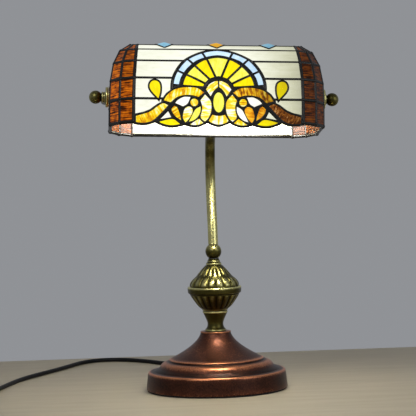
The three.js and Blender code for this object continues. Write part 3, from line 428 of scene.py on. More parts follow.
def catmull(points, count):
    """count + 1 points on the centripetal curve through the points."""
    p = [np.array(q, float) for q in points]
    p = [2 * p[0] - p[1], *p, 2 * p[-1] - p[-2]]
    made = []
    spans = len(p) - 3
    for i in range(count + 1):
        at = spans * i / count
        k = min(int(at), spans - 1)
        t = at - k
        a, b, c, d = p[k : k + 4]
        d0, d1, d2 = (max(np.linalg.norm(y - x), 1e-6) ** 0.5 for x, y in ((a, b), (b, c), (c, d)))
        m1 = d1 * ((b - a) / d0 - (c - a) / (d0 + d1) + (c - b) / d1)
        m2 = d1 * ((c - b) / d1 - (d - b) / (d1 + d2) + (d - c) / d2)
        made.append(between(b, m1, c, m2, t))
    return made


def ring_faces(rings, sides):
    """The faces of a closed tube whose points lie in rings."""
    faces = []
    for i in range(rings - 1):
        for j in range(sides):
            k = (j + 1) % sides
            faces.append((i * sides + j, i * sides + k, (i + 1) * sides + k, (i + 1) * sides + j))
    faces.append(tuple(reversed(range(sides))))
    faces.append(tuple(range((rings - 1) * sides, rings * sides)))
    return faces


def tube(path, radii, sides=24):
    """Points and faces of a round tube along a path."""
    path = [Vector(p) for p in path]
    points = []
    tangent = (path[1] - path[0]).normalized()
    side = tangent.orthogonal().normalized()
    for i, p in enumerate(path):
        ahead, behind = path[min(i + 1, len(path) - 1)], path[max(i - 1, 0)]
        new = (ahead - behind).normalized()
        side = (side - new * side.dot(new)).normalized()
        other = new.cross(side)
        r = radii[i] if hasattr(radii, "__len__") else radii
        for j in range(sides):
            a = 2 * math.pi * j / sides
            points.append(p + r * (math.cos(a) * side + math.sin(a) * other))
    return [tuple(p) for p in points], ring_faces(len(path), sides)


def joined(parts):
    """Several (points, faces) as one."""
    points, faces = [], []
    for some, more in parts:
        base = len(points)
        points += list(some)
        faces += [tuple(i + base for i in f) for f in more]
    return points, faces


# ---------------------------------------------------------------- the head's place
tilt_joint = next(j for j in frame["joints"] if j["name"] == "shade_tilt")
PIVOT = Vector(tilt_joint["pos_m"]) / MM
PIVOT_AXIS = Vector(tilt_joint["axis"]).normalized()
CANT = math.atan2(-PIVOT_AXIS.z, PIVOT_AXIS.x)
HEAD = Matrix.Translation(PIVOT) @ Matrix.Rotation(CANT, 4, "Y")
SHADE = HEAD @ Matrix.Rotation(-TILT, 4, "X")


# ---------------------------------------------------------------- the shade's surface
LINES = ARCH_FACETS + 3
FRONT_HALF, FRONT_TAPER, CROWN_HALF, END_HALF = 97.5, 4.5, 93.0, 124.5
CORNER_SHARE, END_ROUNDNESS = 0.6, 2.6
SEAM_DEPTHS = (1.0, 0.83, 0.51)


def section(k):
    """The (y, z) of seam line k, from the front rim over the top to the rear rim."""
    if k == 0:
        return -SHADE_HALF_DEPTH, -RIM_DROP
    if k == LINES - 1:
        return SHADE_HALF_DEPTH, -RIM_DROP
    angle = math.pi * (k - 1) / ARCH_FACETS
    return -SHADE_HALF_DEPTH * math.cos(angle), -SPRING_DROP + ARCH_RISE * math.sin(angle)


def seams_at(z):
    h = max(0.0, (z + SPRING_DROP) / ARCH_RISE)
    front = FRONT_HALF - FRONT_TAPER * h * h
    around = (1 - min(1.0, h**END_ROUNDNESS)) ** (1 / END_ROUNDNESS)
    end = CROWN_HALF + (END_HALF - CROWN_HALF) * around
    return front, front + (end - front) * CORNER_SHARE, end


def grid_point(k, column):
    y, z = section(k)
    step = abs(column) - 1
    x = math.copysign(seams_at(z)[step], column)
    return Vector((x, y * SEAM_DEPTHS[step], z))


SECTION = [Vector(section(k)) for k in range(LINES)]
ARC = [0.0]
for low, high in zip(SECTION, SECTION[1:]):
    ARC.append(ARC[-1] + (high - low).length)


def on_section(s, above=0.0):
    """The (y, z) at distance s along the section from the front rim, and above the glass's outer face."""
    k = 0
    while k < LINES - 2 and s > ARC[k + 1]:
        k += 1
    a, b = SECTION[k], SECTION[k + 1]
    along = (b - a).normalized()
    normal = Vector((-along.y, along.x))
    return a + along * (s - ARC[k]) + normal * above


def on_shade(x, s, above=0.0):
    y, z = on_section(s, above)
    return (x, y, z)


def glow_at(x, y, z):
    """How strongly the bulb lights the glass here: it points left, and its holder shades the right end."""
    stops = [(-125, 0.90), (-98, 0.90), (-60, 0.97), (-10, 1.02), (30, 0.97), (60, 0.74), (92, 0.40),
             (99, 0.12), (110, 0.085), (125, 0.07)]
    value = np.interp(x, [p for p, _ in stops], [q for _, q in stops])
    hot = 0.08 * math.exp(-((x + 2) ** 2 / 55**2) - ((z - 2) ** 2 / 40**2))
    shaded = 0.35 if abs(x) > 98 else 0.05
    return value * (1.0 - shaded * smoothstep(-10, 50, z)) + hot


# ---------------------------------------------------------------- the front's pattern
# Outlines as (x, s) in millimetres: x across from the middle, s up the glass from the rim. They are
# the right half's glass pieces, mirrored for the left; the glass differs between the halves.
FAN_FOOT = 42.0


def superellipse(half_width, height, exponent, t):
    """A point on the upper half of a superellipse about the fan's middle; t runs from right to left."""
    a = math.pi * t
    c, s = math.cos(a), math.sin(a)
    x = math.copysign(abs(c) ** (2 / exponent), c)
    return half_width * x, FAN_FOOT + height * abs(s) ** (2 / exponent)


OUTER_ARCH = (54.5, 57.0, 1.72)
BLUE_OUTER = (53.0, 55.4, 1.72)
BLUE_INNER = (44.4, 44.2, 1.66)
PETAL_OUTER = (42.0, 41.6, 1.66)
# The fan's rays: each runs from its foot on the inner arch through the gap between two petals.
RAYS = [((3.2, 52.9), (13.2, 80.0)), ((10.1, 50.3), (26.2, 68.6)), ((15.0, 44.9), (35.0, 55.6)),
        ((16.8, 40.2), (42.0, 42.6))]
FAN_FEET = [(0.0, 53.6), (3.2, 53.0), (10.1, 50.3), (15.0, 45.3), (16.9, 40.9)]
HALF_LEAD = 1.4

RIGHT_PIECES = {
    "arch_ribbon": [(1.0, 48.8), (5.0, 48.0), (10.6, 44.6), (14.4, 38.6), (9.2, 30.4), (6.6, 35.6),
                    (3.2, 39.8), (1.0, 41.6)],
    "upper_ribbon": [(16.8, 34.8), (25.5, 40.2), (39.8, 40.6), (50.8, 37.8), (58.4, 32.0), (62.8, 25.2),
                     (55.0, 23.0), (47.8, 29.0), (39.2, 31.6), (30.6, 31.6), (23.0, 29.6)],
    "tail": [(63.2, 21.6), (69.0, 18.8), (77.4, 12.6), (84.7, 9.6), (94.4, 6.8), (94.4, -3.4),
             (85.8, -2.6), (75.4, 2.0), (67.0, 9.6), (58.0, 19.4)],
    "loop": [(15.6, 32.4), (20.8, 25.4), (18.9, 19.0), (19.2, 13.0), (20.5, 7.8), (19.6, 4.2),
             (15.8, 1.2), (12.6, 4.2), (9.4, 10.6), (8.4, 17.6), (9.4, 24.8)],
    "leaf": [(32.4, 29.2), (39.8, 29.2), (46.4, 25.8), (49.6, 22.2), (40.8, 18.4), (35.8, 21.8)],
    "sliver": [(20.8, 18.4), (26.2, 15.2), (29.2, 10.4), (34.0, 0.8), (28.8, 2.4), (24.0, 6.6),
               (21.0, 12.6)],
    "petal": [(34.4, 18.2), (38.4, 16.0), (40.4, 10.6), (40.8, 4.8), (38.2, 0.0), (35.6, 2.0),
              (31.4, 8.2), (29.8, 13.8), (31.2, 17.0)],
    "stripe": [(50.6, 18.8), (53.8, 15.8), (53.2, 12.0), (49.0, 6.4), (43.2, 2.6), (44.0, 7.2),
               (45.8, 12.8), (47.6, 17.0)],
    "small": [(22.6, 4.2), (28.0, 0.8), (33.8, -3.4), (29.0, -4.2), (23.0, -3.4), (17.6, -0.6)],
    "leaf_low": [(51.6, 3.2), (58.4, 2.8), (68.0, 0.2), (61.0, -3.0), (55.0, -4.6), (49.6, -4.6),
                 (42.4, -3.6), (46.4, -0.4)],
    "triangle": [(57.8, 12.4), (66.4, 3.6), (54.4, 5.8)],
    "bud": [(67.0, 42.2), (68.8, 46.8), (73.2, 48.6), (77.4, 46.8), (79.0, 41.6), (76.6, 35.8),
            (69.0, 27.4), (67.2, 34.6)],
}
ROUND_JEWEL = ((28.0, 23.0), 4.3)
OVAL = ((0.0, 23.4), (6.1, 11.6))
BOTTOM_RIBBON = [(-7.2, 8.9), (-2.7, 7.8), (2.7, 7.8), (7.2, 8.9), (11.2, 2.2), (6.4, -2.4), (0.0, -3.6),
                 (-6.4, -2.4), (-11.2, 2.2)]
# Which glass each half takes, as (left, right), and the direction of its streaks. Most pieces take a darker
# glass on the right than on the left.
GLASS_OF = {
    "arch_ribbon": ("bright", "bright", 55), "upper_ribbon": ("ribbon", "sunset", 10),
    "tail": ("ribbon", "mottled", -25), "loop": ("bright", "bright", 88),
    "leaf": ("white", "white", 0), "sliver": ("light_yellow", "white", 60),
    "petal": ("bright", "orange", 80), "stripe": ("ribbon", "orange", 60),
    "small": ("bright", "ribbon", 5), "leaf_low": ("yellow", "yellow", 0),
    "triangle": ("cream", "cream", 0), "bud": ("yellow", "yellow", 80),
}
# The lead field's upper edge, from the middle out, below which no cream glass shows.
FIELD_EDGE = [(0, 60), (17, 43.5), (25.2, 42.6), (40.2, 43), (52.2, 40), (60.4, 33.6), (65.4, 26.4),
              (66.0, 23.2), (70.4, 21), (78.6, 14.8), (85.4, 11.9), (98, 9.0)]
BUD_EDGE = 2.2
EDGE_LEAD = 2.6
SCALLOPS = [(0.13, 0.5, 4.4), (0.4, 3.0, 3.9), (0.75, 0.2, 4.4), (1.0, 2.0, 2.4)]


def smooth_loop(points, spacing=1.3, corner=52):
    """A closed outline, curved through its points but kept sharp at its corners."""
    n = len(points)
    p = [np.array(q, float) for q in points]
    sharp = []
    for i in range(n):
        a, b = p[i] - p[i - 1], p[(i + 1) % n] - p[i]
        turn = abs(math.degrees(math.atan2(a[0] * b[1] - a[1] * b[0], a @ b)))
        sharp.append(turn > corner)
    made = []
    for i in range(n):
        a, b, c, d = p[i - 1], p[i], p[(i + 1) % n], p[(i + 2) % n]
        m1 = (c - b) if sharp[i] else (c - a) / 2
        m2 = (c - b) if sharp[(i + 1) % n] else (d - b) / 2
        steps = max(1, int(round(np.linalg.norm(c - b) / spacing)))
        for j in range(steps):
            made.append(tuple(between(b, m1, c, m2, j / steps)))
    return made


def area_of(loop):
    a = np.array(loop)
    return 0.5 * float(np.sum(a[:, 0] * np.roll(a[:, 1], -1) - a[:, 1] * np.roll(a[:, 0], -1)))


def offset_loop(loop, distance):
    """The outline moved outwards by a distance, or inwards if it is negative."""
    p = np.array(loop if area_of(loop) > 0 else loop[::-1], float)
    edge = np.roll(p, -1, 0) - p
    edge /= np.maximum(np.linalg.norm(edge, axis=1, keepdims=True), 1e-9)
    out = np.stack([edge[:, 1], -edge[:, 0]], 1)
    both = out + np.roll(out, 1, 0)
    length = np.maximum(np.linalg.norm(both, axis=1, keepdims=True), 0.6)
    return [tuple(q) for q in p + both / length**2 * 2 * distance * (length / 2 + 0.5 * (2 - length))]


def mirrored(loop):
    return [(-x, s) for x, s in reversed(loop)]


def inside(loop, points):
    """Which of the points lie inside the outline."""
    a = np.array(loop, float)
    b = np.roll(a, -1, 0)
    x, y = points[:, 0][:, None], points[:, 1][:, None]
    crosses = (a[:, 1] > y) != (b[:, 1] > y)
    with np.errstate(divide="ignore", invalid="ignore"):
        at = a[:, 0] + (y - a[:, 1]) * (b[:, 0] - a[:, 0]) / (b[:, 1] - a[:, 1])
    return (np.sum(crosses & (x < at), axis=1) % 2) == 1


def on_ray(curve, ray):
    """The parameter where a fan ray meets one of the arch's curves."""
    (ax, ay), (bx, by) = ray
    low, high = 0.0, 0.5

    def side(t):
        x, y = superellipse(*curve, t)
        return (bx - ax) * (y - ay) - (by - ay) * (x - ax)

    for _ in range(40):
        middle = (low + high) / 2
        if side(middle) < 0:
            low = middle
        else:
            high = middle
    return low


def sector(outer, inner, ray_a, ray_b):
    """The piece between two curves of the arch and two rays, ray_a the nearer to the middle."""
    loop = []
    for curve, turn in ((outer, 1), (inner, -1)):
        start, end = on_ray(curve, ray_b), on_ray(curve, ray_a)
        steps = 7
        line = [superellipse(*curve, start + (end - start) * i / steps) for i in range(steps + 1)]
        loop += line[::turn]
    return loop


def fan_pieces():
    """The blue arch's and the fan's pieces, as (name, glass, outline)."""
    made = []
    steps = 8

    def over_middle(curve):
        start = on_ray(curve, RAYS[0])
        return [superellipse(*curve, start + (1 - 2 * start) * i / steps) for i in range(steps + 1)]

    blue = over_middle(BLUE_OUTER) + over_middle(BLUE_INNER)[::-1]
    made.append(("blue_0", "blue", offset_loop(blue, -HALF_LEAD)))
    feet = [(-FAN_FEET[1][0], FAN_FEET[1][1]), FAN_FEET[0], FAN_FEET[1]]
    made.append(("petal_0", "light_yellow", offset_loop(over_middle(PETAL_OUTER) + feet, -HALF_LEAD)))
    for i in range(3):
        a, b = RAYS[i], RAYS[i + 1]
        blue = sector(BLUE_OUTER, BLUE_INNER, a, b)
        start, end = on_ray(PETAL_OUTER, b), on_ray(PETAL_OUTER, a)
        line = [superellipse(*PETAL_OUTER, start + (end - start) * j / 6) for j in range(7)]
        petal = line + [FAN_FEET[i + 1], FAN_FEET[i + 2]]
        glass = "light_yellow" if i == 1 else "yellow"
        for loop, kind, label in ((blue, "blue", "blue"), (petal, glass, "petal")):
            drawn = offset_loop(loop, -HALF_LEAD)
            made.append((f"{label}_{i + 1}_right", kind, drawn))
            made.append((f"{label}_{i + 1}_left", kind, mirrored(drawn)))
    return made


def round_loop(centre, radii, count=28):
    return [(centre[0] + radii[0] * math.cos(2 * math.pi * i / count),
             centre[1] + radii[1] * math.sin(2 * math.pi * i / count)) for i in range(count)]


def edge_at(x):
    """The height of the scalloped lower edge at x."""
    edge = lower_edge()
    return float(np.interp(x, [p[0] for p in edge], [p[1] for p in edge]))


def pattern_pieces():
    """Every coloured piece of the front: (name, glass, outline, streak angle)."""
    made = [(name, glass, loop, 80) for name, glass, loop in fan_pieces()]
    for name, points in RIGHT_PIECES.items():
        left, right, angle = GLASS_OF[name]
        loop = smooth_loop(points)
        made.append((f"{name}_right", right, loop, angle))
        made.append((f"{name}_left", left, mirrored(loop), -angle))
    (x, s), radius = ROUND_JEWEL
    made.append(("round_right", "ribbon", round_loop((x, s), (radius, radius)), 90))
    made.append(("round_left", "bright", round_loop((-x, s), (radius, radius)), 20))
    made.append(("oval", "light_yellow", round_loop(*OVAL), 90))
    made.append(("bottom_ribbon", "bright", smooth_loop(BOTTOM_RIBBON), 0))
    return [
        (name, glass, [(x, max(s, edge_at(x) + EDGE_LEAD)) for x, s in loop], angle)
        for name, glass, loop, angle in made
    ]


def lower_edge(inset=0.0):
    """The front's scalloped lower edge, from left to right."""
    steps = 8
    half = []
    before = (-SCALLOPS[0][0], SCALLOPS[0][1])
    for i, (end, hang, lobe) in enumerate(SCALLOPS):
        for j in range(steps // 2 if i == 0 else 1, steps + 1):
            t = j / steps
            across = before[0] + (end - before[0]) * t
            drop = before[1] + (hang - before[1]) * t + lobe * math.sin(math.pi * t)
            half.append(((FRONT_HALF - inset) * across, inset - drop))
        before = (end, hang)
    return mirrored(half)[:-1] + half


def row_loops():
    """The front's cream rows between its seam lines, before the pattern is cut out of them."""
    loops = []
    for k in range(5):
        low, high = ARC[k] + HALF_LEAD * (1 if k else 1.4), ARC[k + 1] - HALF_LEAD
        edge_low, edge_high = (seams_at(section(i)[1])[0] - SOLDER_HALF for i in (k, k + 1))
        loops.append([(-edge_low, low), (edge_low, low), (edge_high, high), (-edge_high, high)])
    return loops


def front_layout():
    """Cuts the front into glass and solder. Returns its points, triangles and each triangle's piece."""
    pieces = pattern_pieces()
    rows = row_loops()
    field = [(-x, s) for x, s in reversed(FIELD_EDGE[1:])] + FIELD_EDGE + [(98, -12), (-98, -12)]
    arch = [superellipse(*OUTER_ARCH, i / 40) for i in range(41)]
    arch = [(x, s) for x, s in arch] + [(-OUTER_ARCH[0], 30), (OUTER_ARCH[0], 30)]
    bud = next(loop for name, _, loop, _ in pieces if name == "bud_right")
    buds = [offset_loop(bud, BUD_EDGE), mirrored(offset_loop(bud, BUD_EDGE))]
    masks = [field, offset_loop(arch, 1.0), *buds]
    tops = [seams_at(section(k)[1])[0] for k in range(6)]
    border = lower_edge() + [(tops[k], ARC[k]) for k in range(1, 6)]
    border += [(-tops[k], ARC[k]) for k in range(5, 0, -1)]

    points, edges = [], []

    def add_loop(loop, closed=True):
        base = len(points)
        points.extend(Vector(p) for p in loop)
        count = len(loop)
        edges.extend((base + i, base + (i + 1) % count) for i in range(count if closed else count - 1))

    add_loop(border)
    for k in range(1, 5):
        add_loop([(-tops[k], ARC[k]), (tops[k], ARC[k])], closed=False)
    for _, _, loop, _ in pieces:
        add_loop(loop)
    for loop in rows + masks:
        add_loop(loop)
    glass_loops = [loop for _, _, loop, _ in pieces]
    for loop in glass_loops:
        for distance in (0.5, 1.1):
            points.extend(Vector(p) for p in offset_loop(loop, distance))
    flat, _, triangles, *_ = delaunay_2d_cdt(points, edges, [], 0, 1e-3)
    flat = np.array([tuple(p) for p in flat], float)
    triangles = np.array([t for t in triangles if len(t) == 3])
    centres = flat[triangles].mean(axis=1)
    kept = inside(border, centres)
    triangles, centres = triangles[kept], centres[kept]
    owner = np.full(len(triangles), -1)
    masked = np.zeros(len(triangles), bool)
    for loop in masks:
        masked |= inside(loop, centres)
    for i, loop in enumerate(rows):
        owner[inside(loop, centres) & ~masked] = len(pieces) + i
    for i, loop in enumerate(glass_loops):
        owner[inside(loop, centres)] = i
    kinds = [(name, glass, angle) for name, glass, _, angle in pieces]
    kinds += [(f"row_{i}", "cream", 0) for i in range(len(rows))]
    return flat, triangles, owner, kinds


def slab(triangles, top, bottom):
    """A closed slab over a patch of triangles: points and faces. top and bottom map a point's number."""
    used = sorted(set(int(i) for t in triangles for i in t))
    number = {v: i for i, v in enumerate(used)}
    points = [top(v) for v in used] + [bottom(v) for v in used]
    shift = len(used)
    faces, sides = [], {}
    for t in triangles:
        a, b, c = (number[int(i)] for i in t)
        faces.append((a, b, c))
        faces.append((a + shift, c + shift, b + shift))
        for e in ((a, b), (b, c), (c, a)):
            sides[e] = sides.get(e, 0) + 1
    for a, b in sides:
        if (b, a) not in sides:
            faces.append((b, a, a + shift, b + shift))
    return points, faces, used


def spun(points, angle, shift):
    """Texture coordinates of (x, s) points, turned so that a piece's streaks run its own way."""
    c, s = math.cos(math.radians(angle)), math.sin(math.radians(angle))
    return [((x * c + y * s) * 0.01 + shift[0], (y * c - x * s) * 0.01 + shift[1]) for x, y in points]


def make_front(rng):
    """The front's glass and solder, pane by pane."""
    flat, triangles, owner, kinds = front_layout()
    groups = {}
    for i, (name, glass, angle) in enumerate(kinds):
        mine = triangles[owner == i]
        if len(mine):
            groups.setdefault(glass, []).append((name, angle, mine))
    front_panes = [f"front_pane_{i}" for i in range(1, 6)]
    for glass, members in groups.items():
        parts, uvs, glow = [], [], []
        for name, angle, mine in members:
            shift = (rng.uniform(0, 9), rng.uniform(0, 9))
            made = slab(mine, lambda v: on_shade(*flat[v], 0.0), lambda v: on_shade(*flat[v], -GLASS))
            parts.append(made[:2])
            line = spun([flat[v] for v in made[2]], angle, shift)
            uvs += line + line
            shade = rng.uniform(0.94, 1.04)
            # painted shade: the right upper ribbon's glow fades towards its outer end
            fade = 0.5 if name == "upper_ribbon_right" else 0.0
            glow += [shade * glow_at(*p) * (1 - fade * smoothstep(28, 60, p[0])) for p in made[0]]
        points, faces = joined(parts)
        piece(f"front_glass_{glass}", points, faces, "shade", MATERIALS[glass],
              front_panes if glass == "cream" else (), SHADE,
              smooth=False, attributes={"glow": glow}, uvs=uvs)
    lead = triangles[owner == -1]
    glass_points = set(int(i) for t in triangles[owner >= 0] for i in t)
    edge_points = np.array([flat[i] for i in glass_points])
    height = {}
    for v in set(int(i) for t in lead for i in t):
        gap = np.min(np.hypot(*(edge_points - flat[v]).T))
        height[v] = SOLDER_PROUD * (0.25 + 0.75 * math.sqrt(1 - (1 - min(1.0, gap / 1.1)) ** 2))
    top = {v: on_shade(*flat[v], h) for v, h in height.items()}
    under = {v: on_shade(*flat[v], -GLASS - h) for v, h in height.items()}
    points, faces, _ = slab(lead, lambda v: top[v], lambda v: under[v])
    piece("front_pattern_solder", points, faces, "shade", MATERIALS["solder"],
          matrix=SHADE)


# ---------------------------------------------------------------- the rest of the shade
def cell_slab(corners, inset, divisions=4):
    """A glass tile over four corners, its edges drawn in: points, faces and (u, v) in millimetres."""
    a, b, c, d = corners
    width, height = ((b - a).length + (c - d).length) / 2, ((d - a).length + (c - b).length) / 2
    cut_u, cut_v = inset / max(width, 3 * inset), inset / max(height, 3 * inset)
    normal = ((b - a).cross(d - a) + (c - d).cross(c - b)).normalized()
    if normal.dot(a + b + c + d) < 0:
        normal = -normal
    outer, flat = [], []
    for i in range(divisions + 1):
        for j in range(divisions + 1):
            u = cut_u + (1 - 2 * cut_u) * i / divisions
            v = cut_v + (1 - 2 * cut_v) * j / divisions
            outer.append((a * (1 - u) + b * u) * (1 - v) + (d * (1 - u) + c * u) * v)
            flat.append((u * width, v * height))
    n = divisions + 1
    count = n * n
    points = outer + [p - normal * GLASS for p in outer]
    faces = []
    for i in range(divisions):
        for j in range(divisions):
            q = (i * n + j, (i + 1) * n + j, (i + 1) * n + j + 1, i * n + j + 1)
            faces.append(q)
            faces.append(tuple(k + count for k in reversed(q)))
    ring = [i * n for i in range(n)] + [divisions * n + j for j in range(1, n)]
    ring += [i * n + divisions for i in range(divisions - 1, -1, -1)]
    ring += [j for j in range(divisions - 1, 0, -1)]
    for p, q in zip(ring, ring[1:] + ring[:1]):
        faces.append((p, p + count, q + count, q))
    turn = (outer[n] - outer[0]).cross(outer[1] - outer[0])
    if turn.dot(normal) < 0:
        faces = flipped(faces)
    return [tuple(p) for p in points], faces, flat


def tile_set():
    """Every tile outside the front: (node it stands for, glass, corners, streak angle)."""
    last = LINES - 1
    top = (last - 1) // 2
    tiles = []
    for k in range(top, last):
        name = "top_pane" if k == top else f"rear_pane_{last - k}"
        corners = (grid_point(k, -1), grid_point(k, 1), grid_point(k + 1, 1), grid_point(k + 1, -1))
        tiles.append((name, "cream", corners, 0))
    for side, label in ((-1, "left"), (1, "right")):
        for k in range(last):
            for column, kind in ((1, "inner"), (2, "outer")):
                if 3 <= k < last - 3:
                    name = f"crown_{label}"
                else:
                    name = f"corner_{kind}_{'front' if k < 3 else 'rear'}_{label}"
                a, b = side * column, side * (column + 1)
                corners = (grid_point(k, a), grid_point(k, b),
                           grid_point(k + 1, b), grid_point(k + 1, a))
                tiles.append((name, "amber", corners, 0))
        for k in range(top):
            near = (grid_point(k, 3 * side), grid_point(k + 1, 3 * side))
            far = (grid_point(last - k, 3 * side), grid_point(last - k - 1, 3 * side))
            tiles.append((f"end_pane_{label}", "amber", (near[0], far[0], far[1], near[1]), 0))
    return tiles


def make_tiles(rng):
    """The rear, top, corner and end tiles, as one piece for each pane that they stand for."""
    panes = {}
    for name, glass, corners, angle in tile_set():
        panes.setdefault(name, []).append((glass, corners, angle))
    for name, tiles in panes.items():
        parts, uvs, glow = [], [], []
        for glass, corners, angle in tiles:
            points, faces, flat = cell_slab(corners, SOLDER_HALF - 0.3)
            parts.append((points, faces))
            line = spun(flat, angle + rng.uniform(-6, 6), (rng.uniform(0, 9), rng.uniform(0, 9)))
            uvs += line + line
            shade = rng.uniform(0.86, 1.1) if glass == "amber" else rng.uniform(0.96, 1.03)
            glow += [shade * glow_at(*p) for p in points]
        points, faces = joined(parts)
        glass = tiles[0][0]
        piece(f"glass_{name}", points, faces, "shade", MATERIALS[glass], (name,), SHADE,
              smooth=False, attributes={"glow": glow}, uvs=uvs)


def bead(start, end, normal, rng, half_width=SOLDER_HALF, sides=10):
    """A solder line between two points of the outer surface, a little lumpy along its length."""
    along = (end - start).normalized()
    across = along.cross(normal).normalized()
    out = across.cross(along).normalized()
    if out.dot(normal) < 0:
        out = -out
    length = (end - start).length
    steps = max(2, int(length / 2.5))
    half_height = (GLASS + 2 * SOLDER_PROUD) / 2
    points = []
    for i in range(steps + 1):
        middle = start.lerp(end, i / steps) - out * (GLASS / 2)
        swell = 1.0 + rng.uniform(-0.07, 0.07)
        for j in range(sides):
            a = 2 * math.pi * j / sides
            points.append(middle + across * (half_width * swell * math.cos(a))
                          + out * (half_height * (0.97 + 0.03 * swell) * math.sin(a)))
    faces = ring_faces(steps + 1, sides)
    turn = (points[1] - points[0]).cross(points[sides] - points[0])
    if turn.dot(points[0] - (start - out * (GLASS / 2))) < 0:
        faces = flipped(faces)
    return [tuple(p) for p in points], faces


def blob(centre, normal, radius, sides=12):
    """The rounded joint where solder lines meet, through the glass's whole thickness."""
    side = normal.orthogonal().normalized()
    other = normal.cross(side)
    half_height = (GLASS + 2 * SOLDER_PROUD) / 2 + 0.15
    middle = centre - normal * (GLASS / 2)
    rings = 5
    points = [middle - normal * half_height]
    for i in range(1, rings):
        a = math.pi * (i / rings - 0.5)
        for j in range(sides):
            b = 2 * math.pi * j / sides
            points.append(middle + normal * (half_height * math.sin(a))
                          + (side * math.cos(b) + other * math.sin(b)) * (radius * math.cos(a) ** 0.6))
    points.append(middle + normal * half_height)
    faces = []
    for j in range(sides):
        k = (j + 1) % sides
        faces.append((0, 1 + k, 1 + j))
        for i in range(rings - 2):
            p = 1 + i * sides
            faces.append((p + j, p + k, p + sides + k, p + sides + j))
        p = 1 + (rings - 2) * sides
        faces.append((p + j, p + k, len(points) - 1))
    return [tuple(p) for p in points], faces


def outward(point):
    """Roughly away from the shade's inside at a point of its surface."""
    sideways = 0.25 if abs(point.x) < 100 else 0.6
    return Vector((point.x * sideways, point.y, point.z * 0.9)).normalized()


def make_solder(rng):
    """The solder lines of the corners, ends, top and rear, with a joint at every crossing."""
    last = LINES - 1
    top = (last - 1) // 2
    lines = []
    for side in (-1, 1):
        for column in (1, 2, 3):
            lines += [(grid_point(k, side * column), grid_point(k + 1, side * column)) for k in range(last)]
        for k in range(LINES):
            for column in (1, 2):
                lines.append((grid_point(k, side * column), grid_point(k, side * (column + 1))))
        for k in range(top + 1):
            lines.append((grid_point(k, 3 * side), grid_point(last - k, 3 * side)))
    for k in range(top, LINES):
        lines.append((grid_point(k, -1), grid_point(k, 1)))
    parts, knots = [], {}
    for a, b in lines:
        if (b - a).length < 0.5:
            continue
        parts.append(bead(a, b, outward((a + b) / 2), rng))
        for p in (a, b):
            knots[tuple(round(v, 1) for v in p)] = p
    for p in knots.values():
        parts.append(blob(p, outward(p), SOLDER_HALF + rng.uniform(0.35, 0.75)))
    points, faces = joined(parts)
    piece("solder_lines", points, faces, "shade", MATERIALS["solder"],
          ("solder_lattice",), SHADE)


JEWEL_HALF_WIDTH, JEWEL_HALF_LENGTH, JEWEL_HEIGHT = 10.5, 17.0, 3.0
JEWEL_SPACING = 61.0
JEWEL_PAST_SEAM = 3.0


def make_jewels():
    """Three faceted glass nuggets, each lying over the top strip and the rows beside it."""
    middle = ARC[5] + JEWEL_PAST_SEAM
    steps, columns = 24, 9
    for place, label, glass in ((-1, "left", "blue"), (0, "centre", "amber"), (1, "right", "blue")):
        rows = []
        for i in range(steps + 1):
            along = -1 + 2 * i / steps
            reach = 1 - abs(along)
            row = []
            for j in range(columns):
                across = (-1 + 2 * j / (columns - 1)) * reach
                share = max(0.0, 1 - (abs(along) + abs(across)))
                above = 0.3 + JEWEL_HEIGHT * (1 - (1 - share) ** 1.6)
                x = place * JEWEL_SPACING + JEWEL_HALF_WIDTH * across
                row.append((x, middle + JEWEL_HALF_LENGTH * along, above))
            rows.append(row)
        points, flat = [], []
        for lift in (0, 1):
            for row in rows:
                for x, s, above in row:
                    points.append(on_shade(x, s, above if lift == 0 else -0.4))
                    flat.append((x, s))
        n, count = columns, (steps + 1) * columns
        faces = []
        for i in range(steps):
            for j in range(columns - 1):
                q = (i * n + j, i * n + j + 1, (i + 1) * n + j + 1, (i + 1) * n + j)
                faces += [q, tuple(k + count for k in reversed(q))]
            for j, turn in ((0, 1), (columns - 1, -1)):
                p, q = i * n + j, (i + 1) * n + j
                face = (p, q, q + count, p + count)
                faces.append(face if turn > 0 else face[::-1])
        glow = [0.75 * glow_at(*p) for p in points]
        made = piece(f"jewel_{label}", points, faces, "shade", MATERIALS[f"{glass}_jewel"],
                     (f"top_jewel_{label}",), SHADE, attributes={"glow": glow},
                     uvs=spun(flat, 0, (place * 2.3, 0.7)))
        merge_doubles(made)
        outline = []
        for i in range(2 * steps):
            along = -1 + 2 * (i if i <= steps else 2 * steps - i) / steps
            reach = (1 - abs(along)) * (1 if i <= steps else -1)
            x = place * JEWEL_SPACING + (JEWEL_HALF_WIDTH + 0.6) * reach
            outline.append(on_shade(x, middle + (JEWEL_HALF_LENGTH + 1.0) * along, 0.35))
        points, faces = tube(outline + [outline[0]], 0.95, 8)
        piece(f"jewel_solder_{label}", points, faces, "shade", MATERIALS["solder"],
              matrix=SHADE)


def merge_doubles(made):
    """Joins the points that fall together and drops the faces that this leaves without area."""
    work = bmesh.new()
    work.from_mesh(made.data)
    bmesh.ops.remove_doubles(work, verts=work.verts, dist=1e-6)
    bmesh.ops.dissolve_degenerate(work, dist=1e-7, edges=work.edges)
    bmesh.ops.recalc_face_normals(work, faces=work.faces)
    work.to_mesh(made.data)
    work.free()


# ---------------------------------------------------------------- base
BASE_RADIUS, BASE_HEIGHT, CONE_TOP = 87.2, 72.0, 18.4
BASE_WALL = 1.6


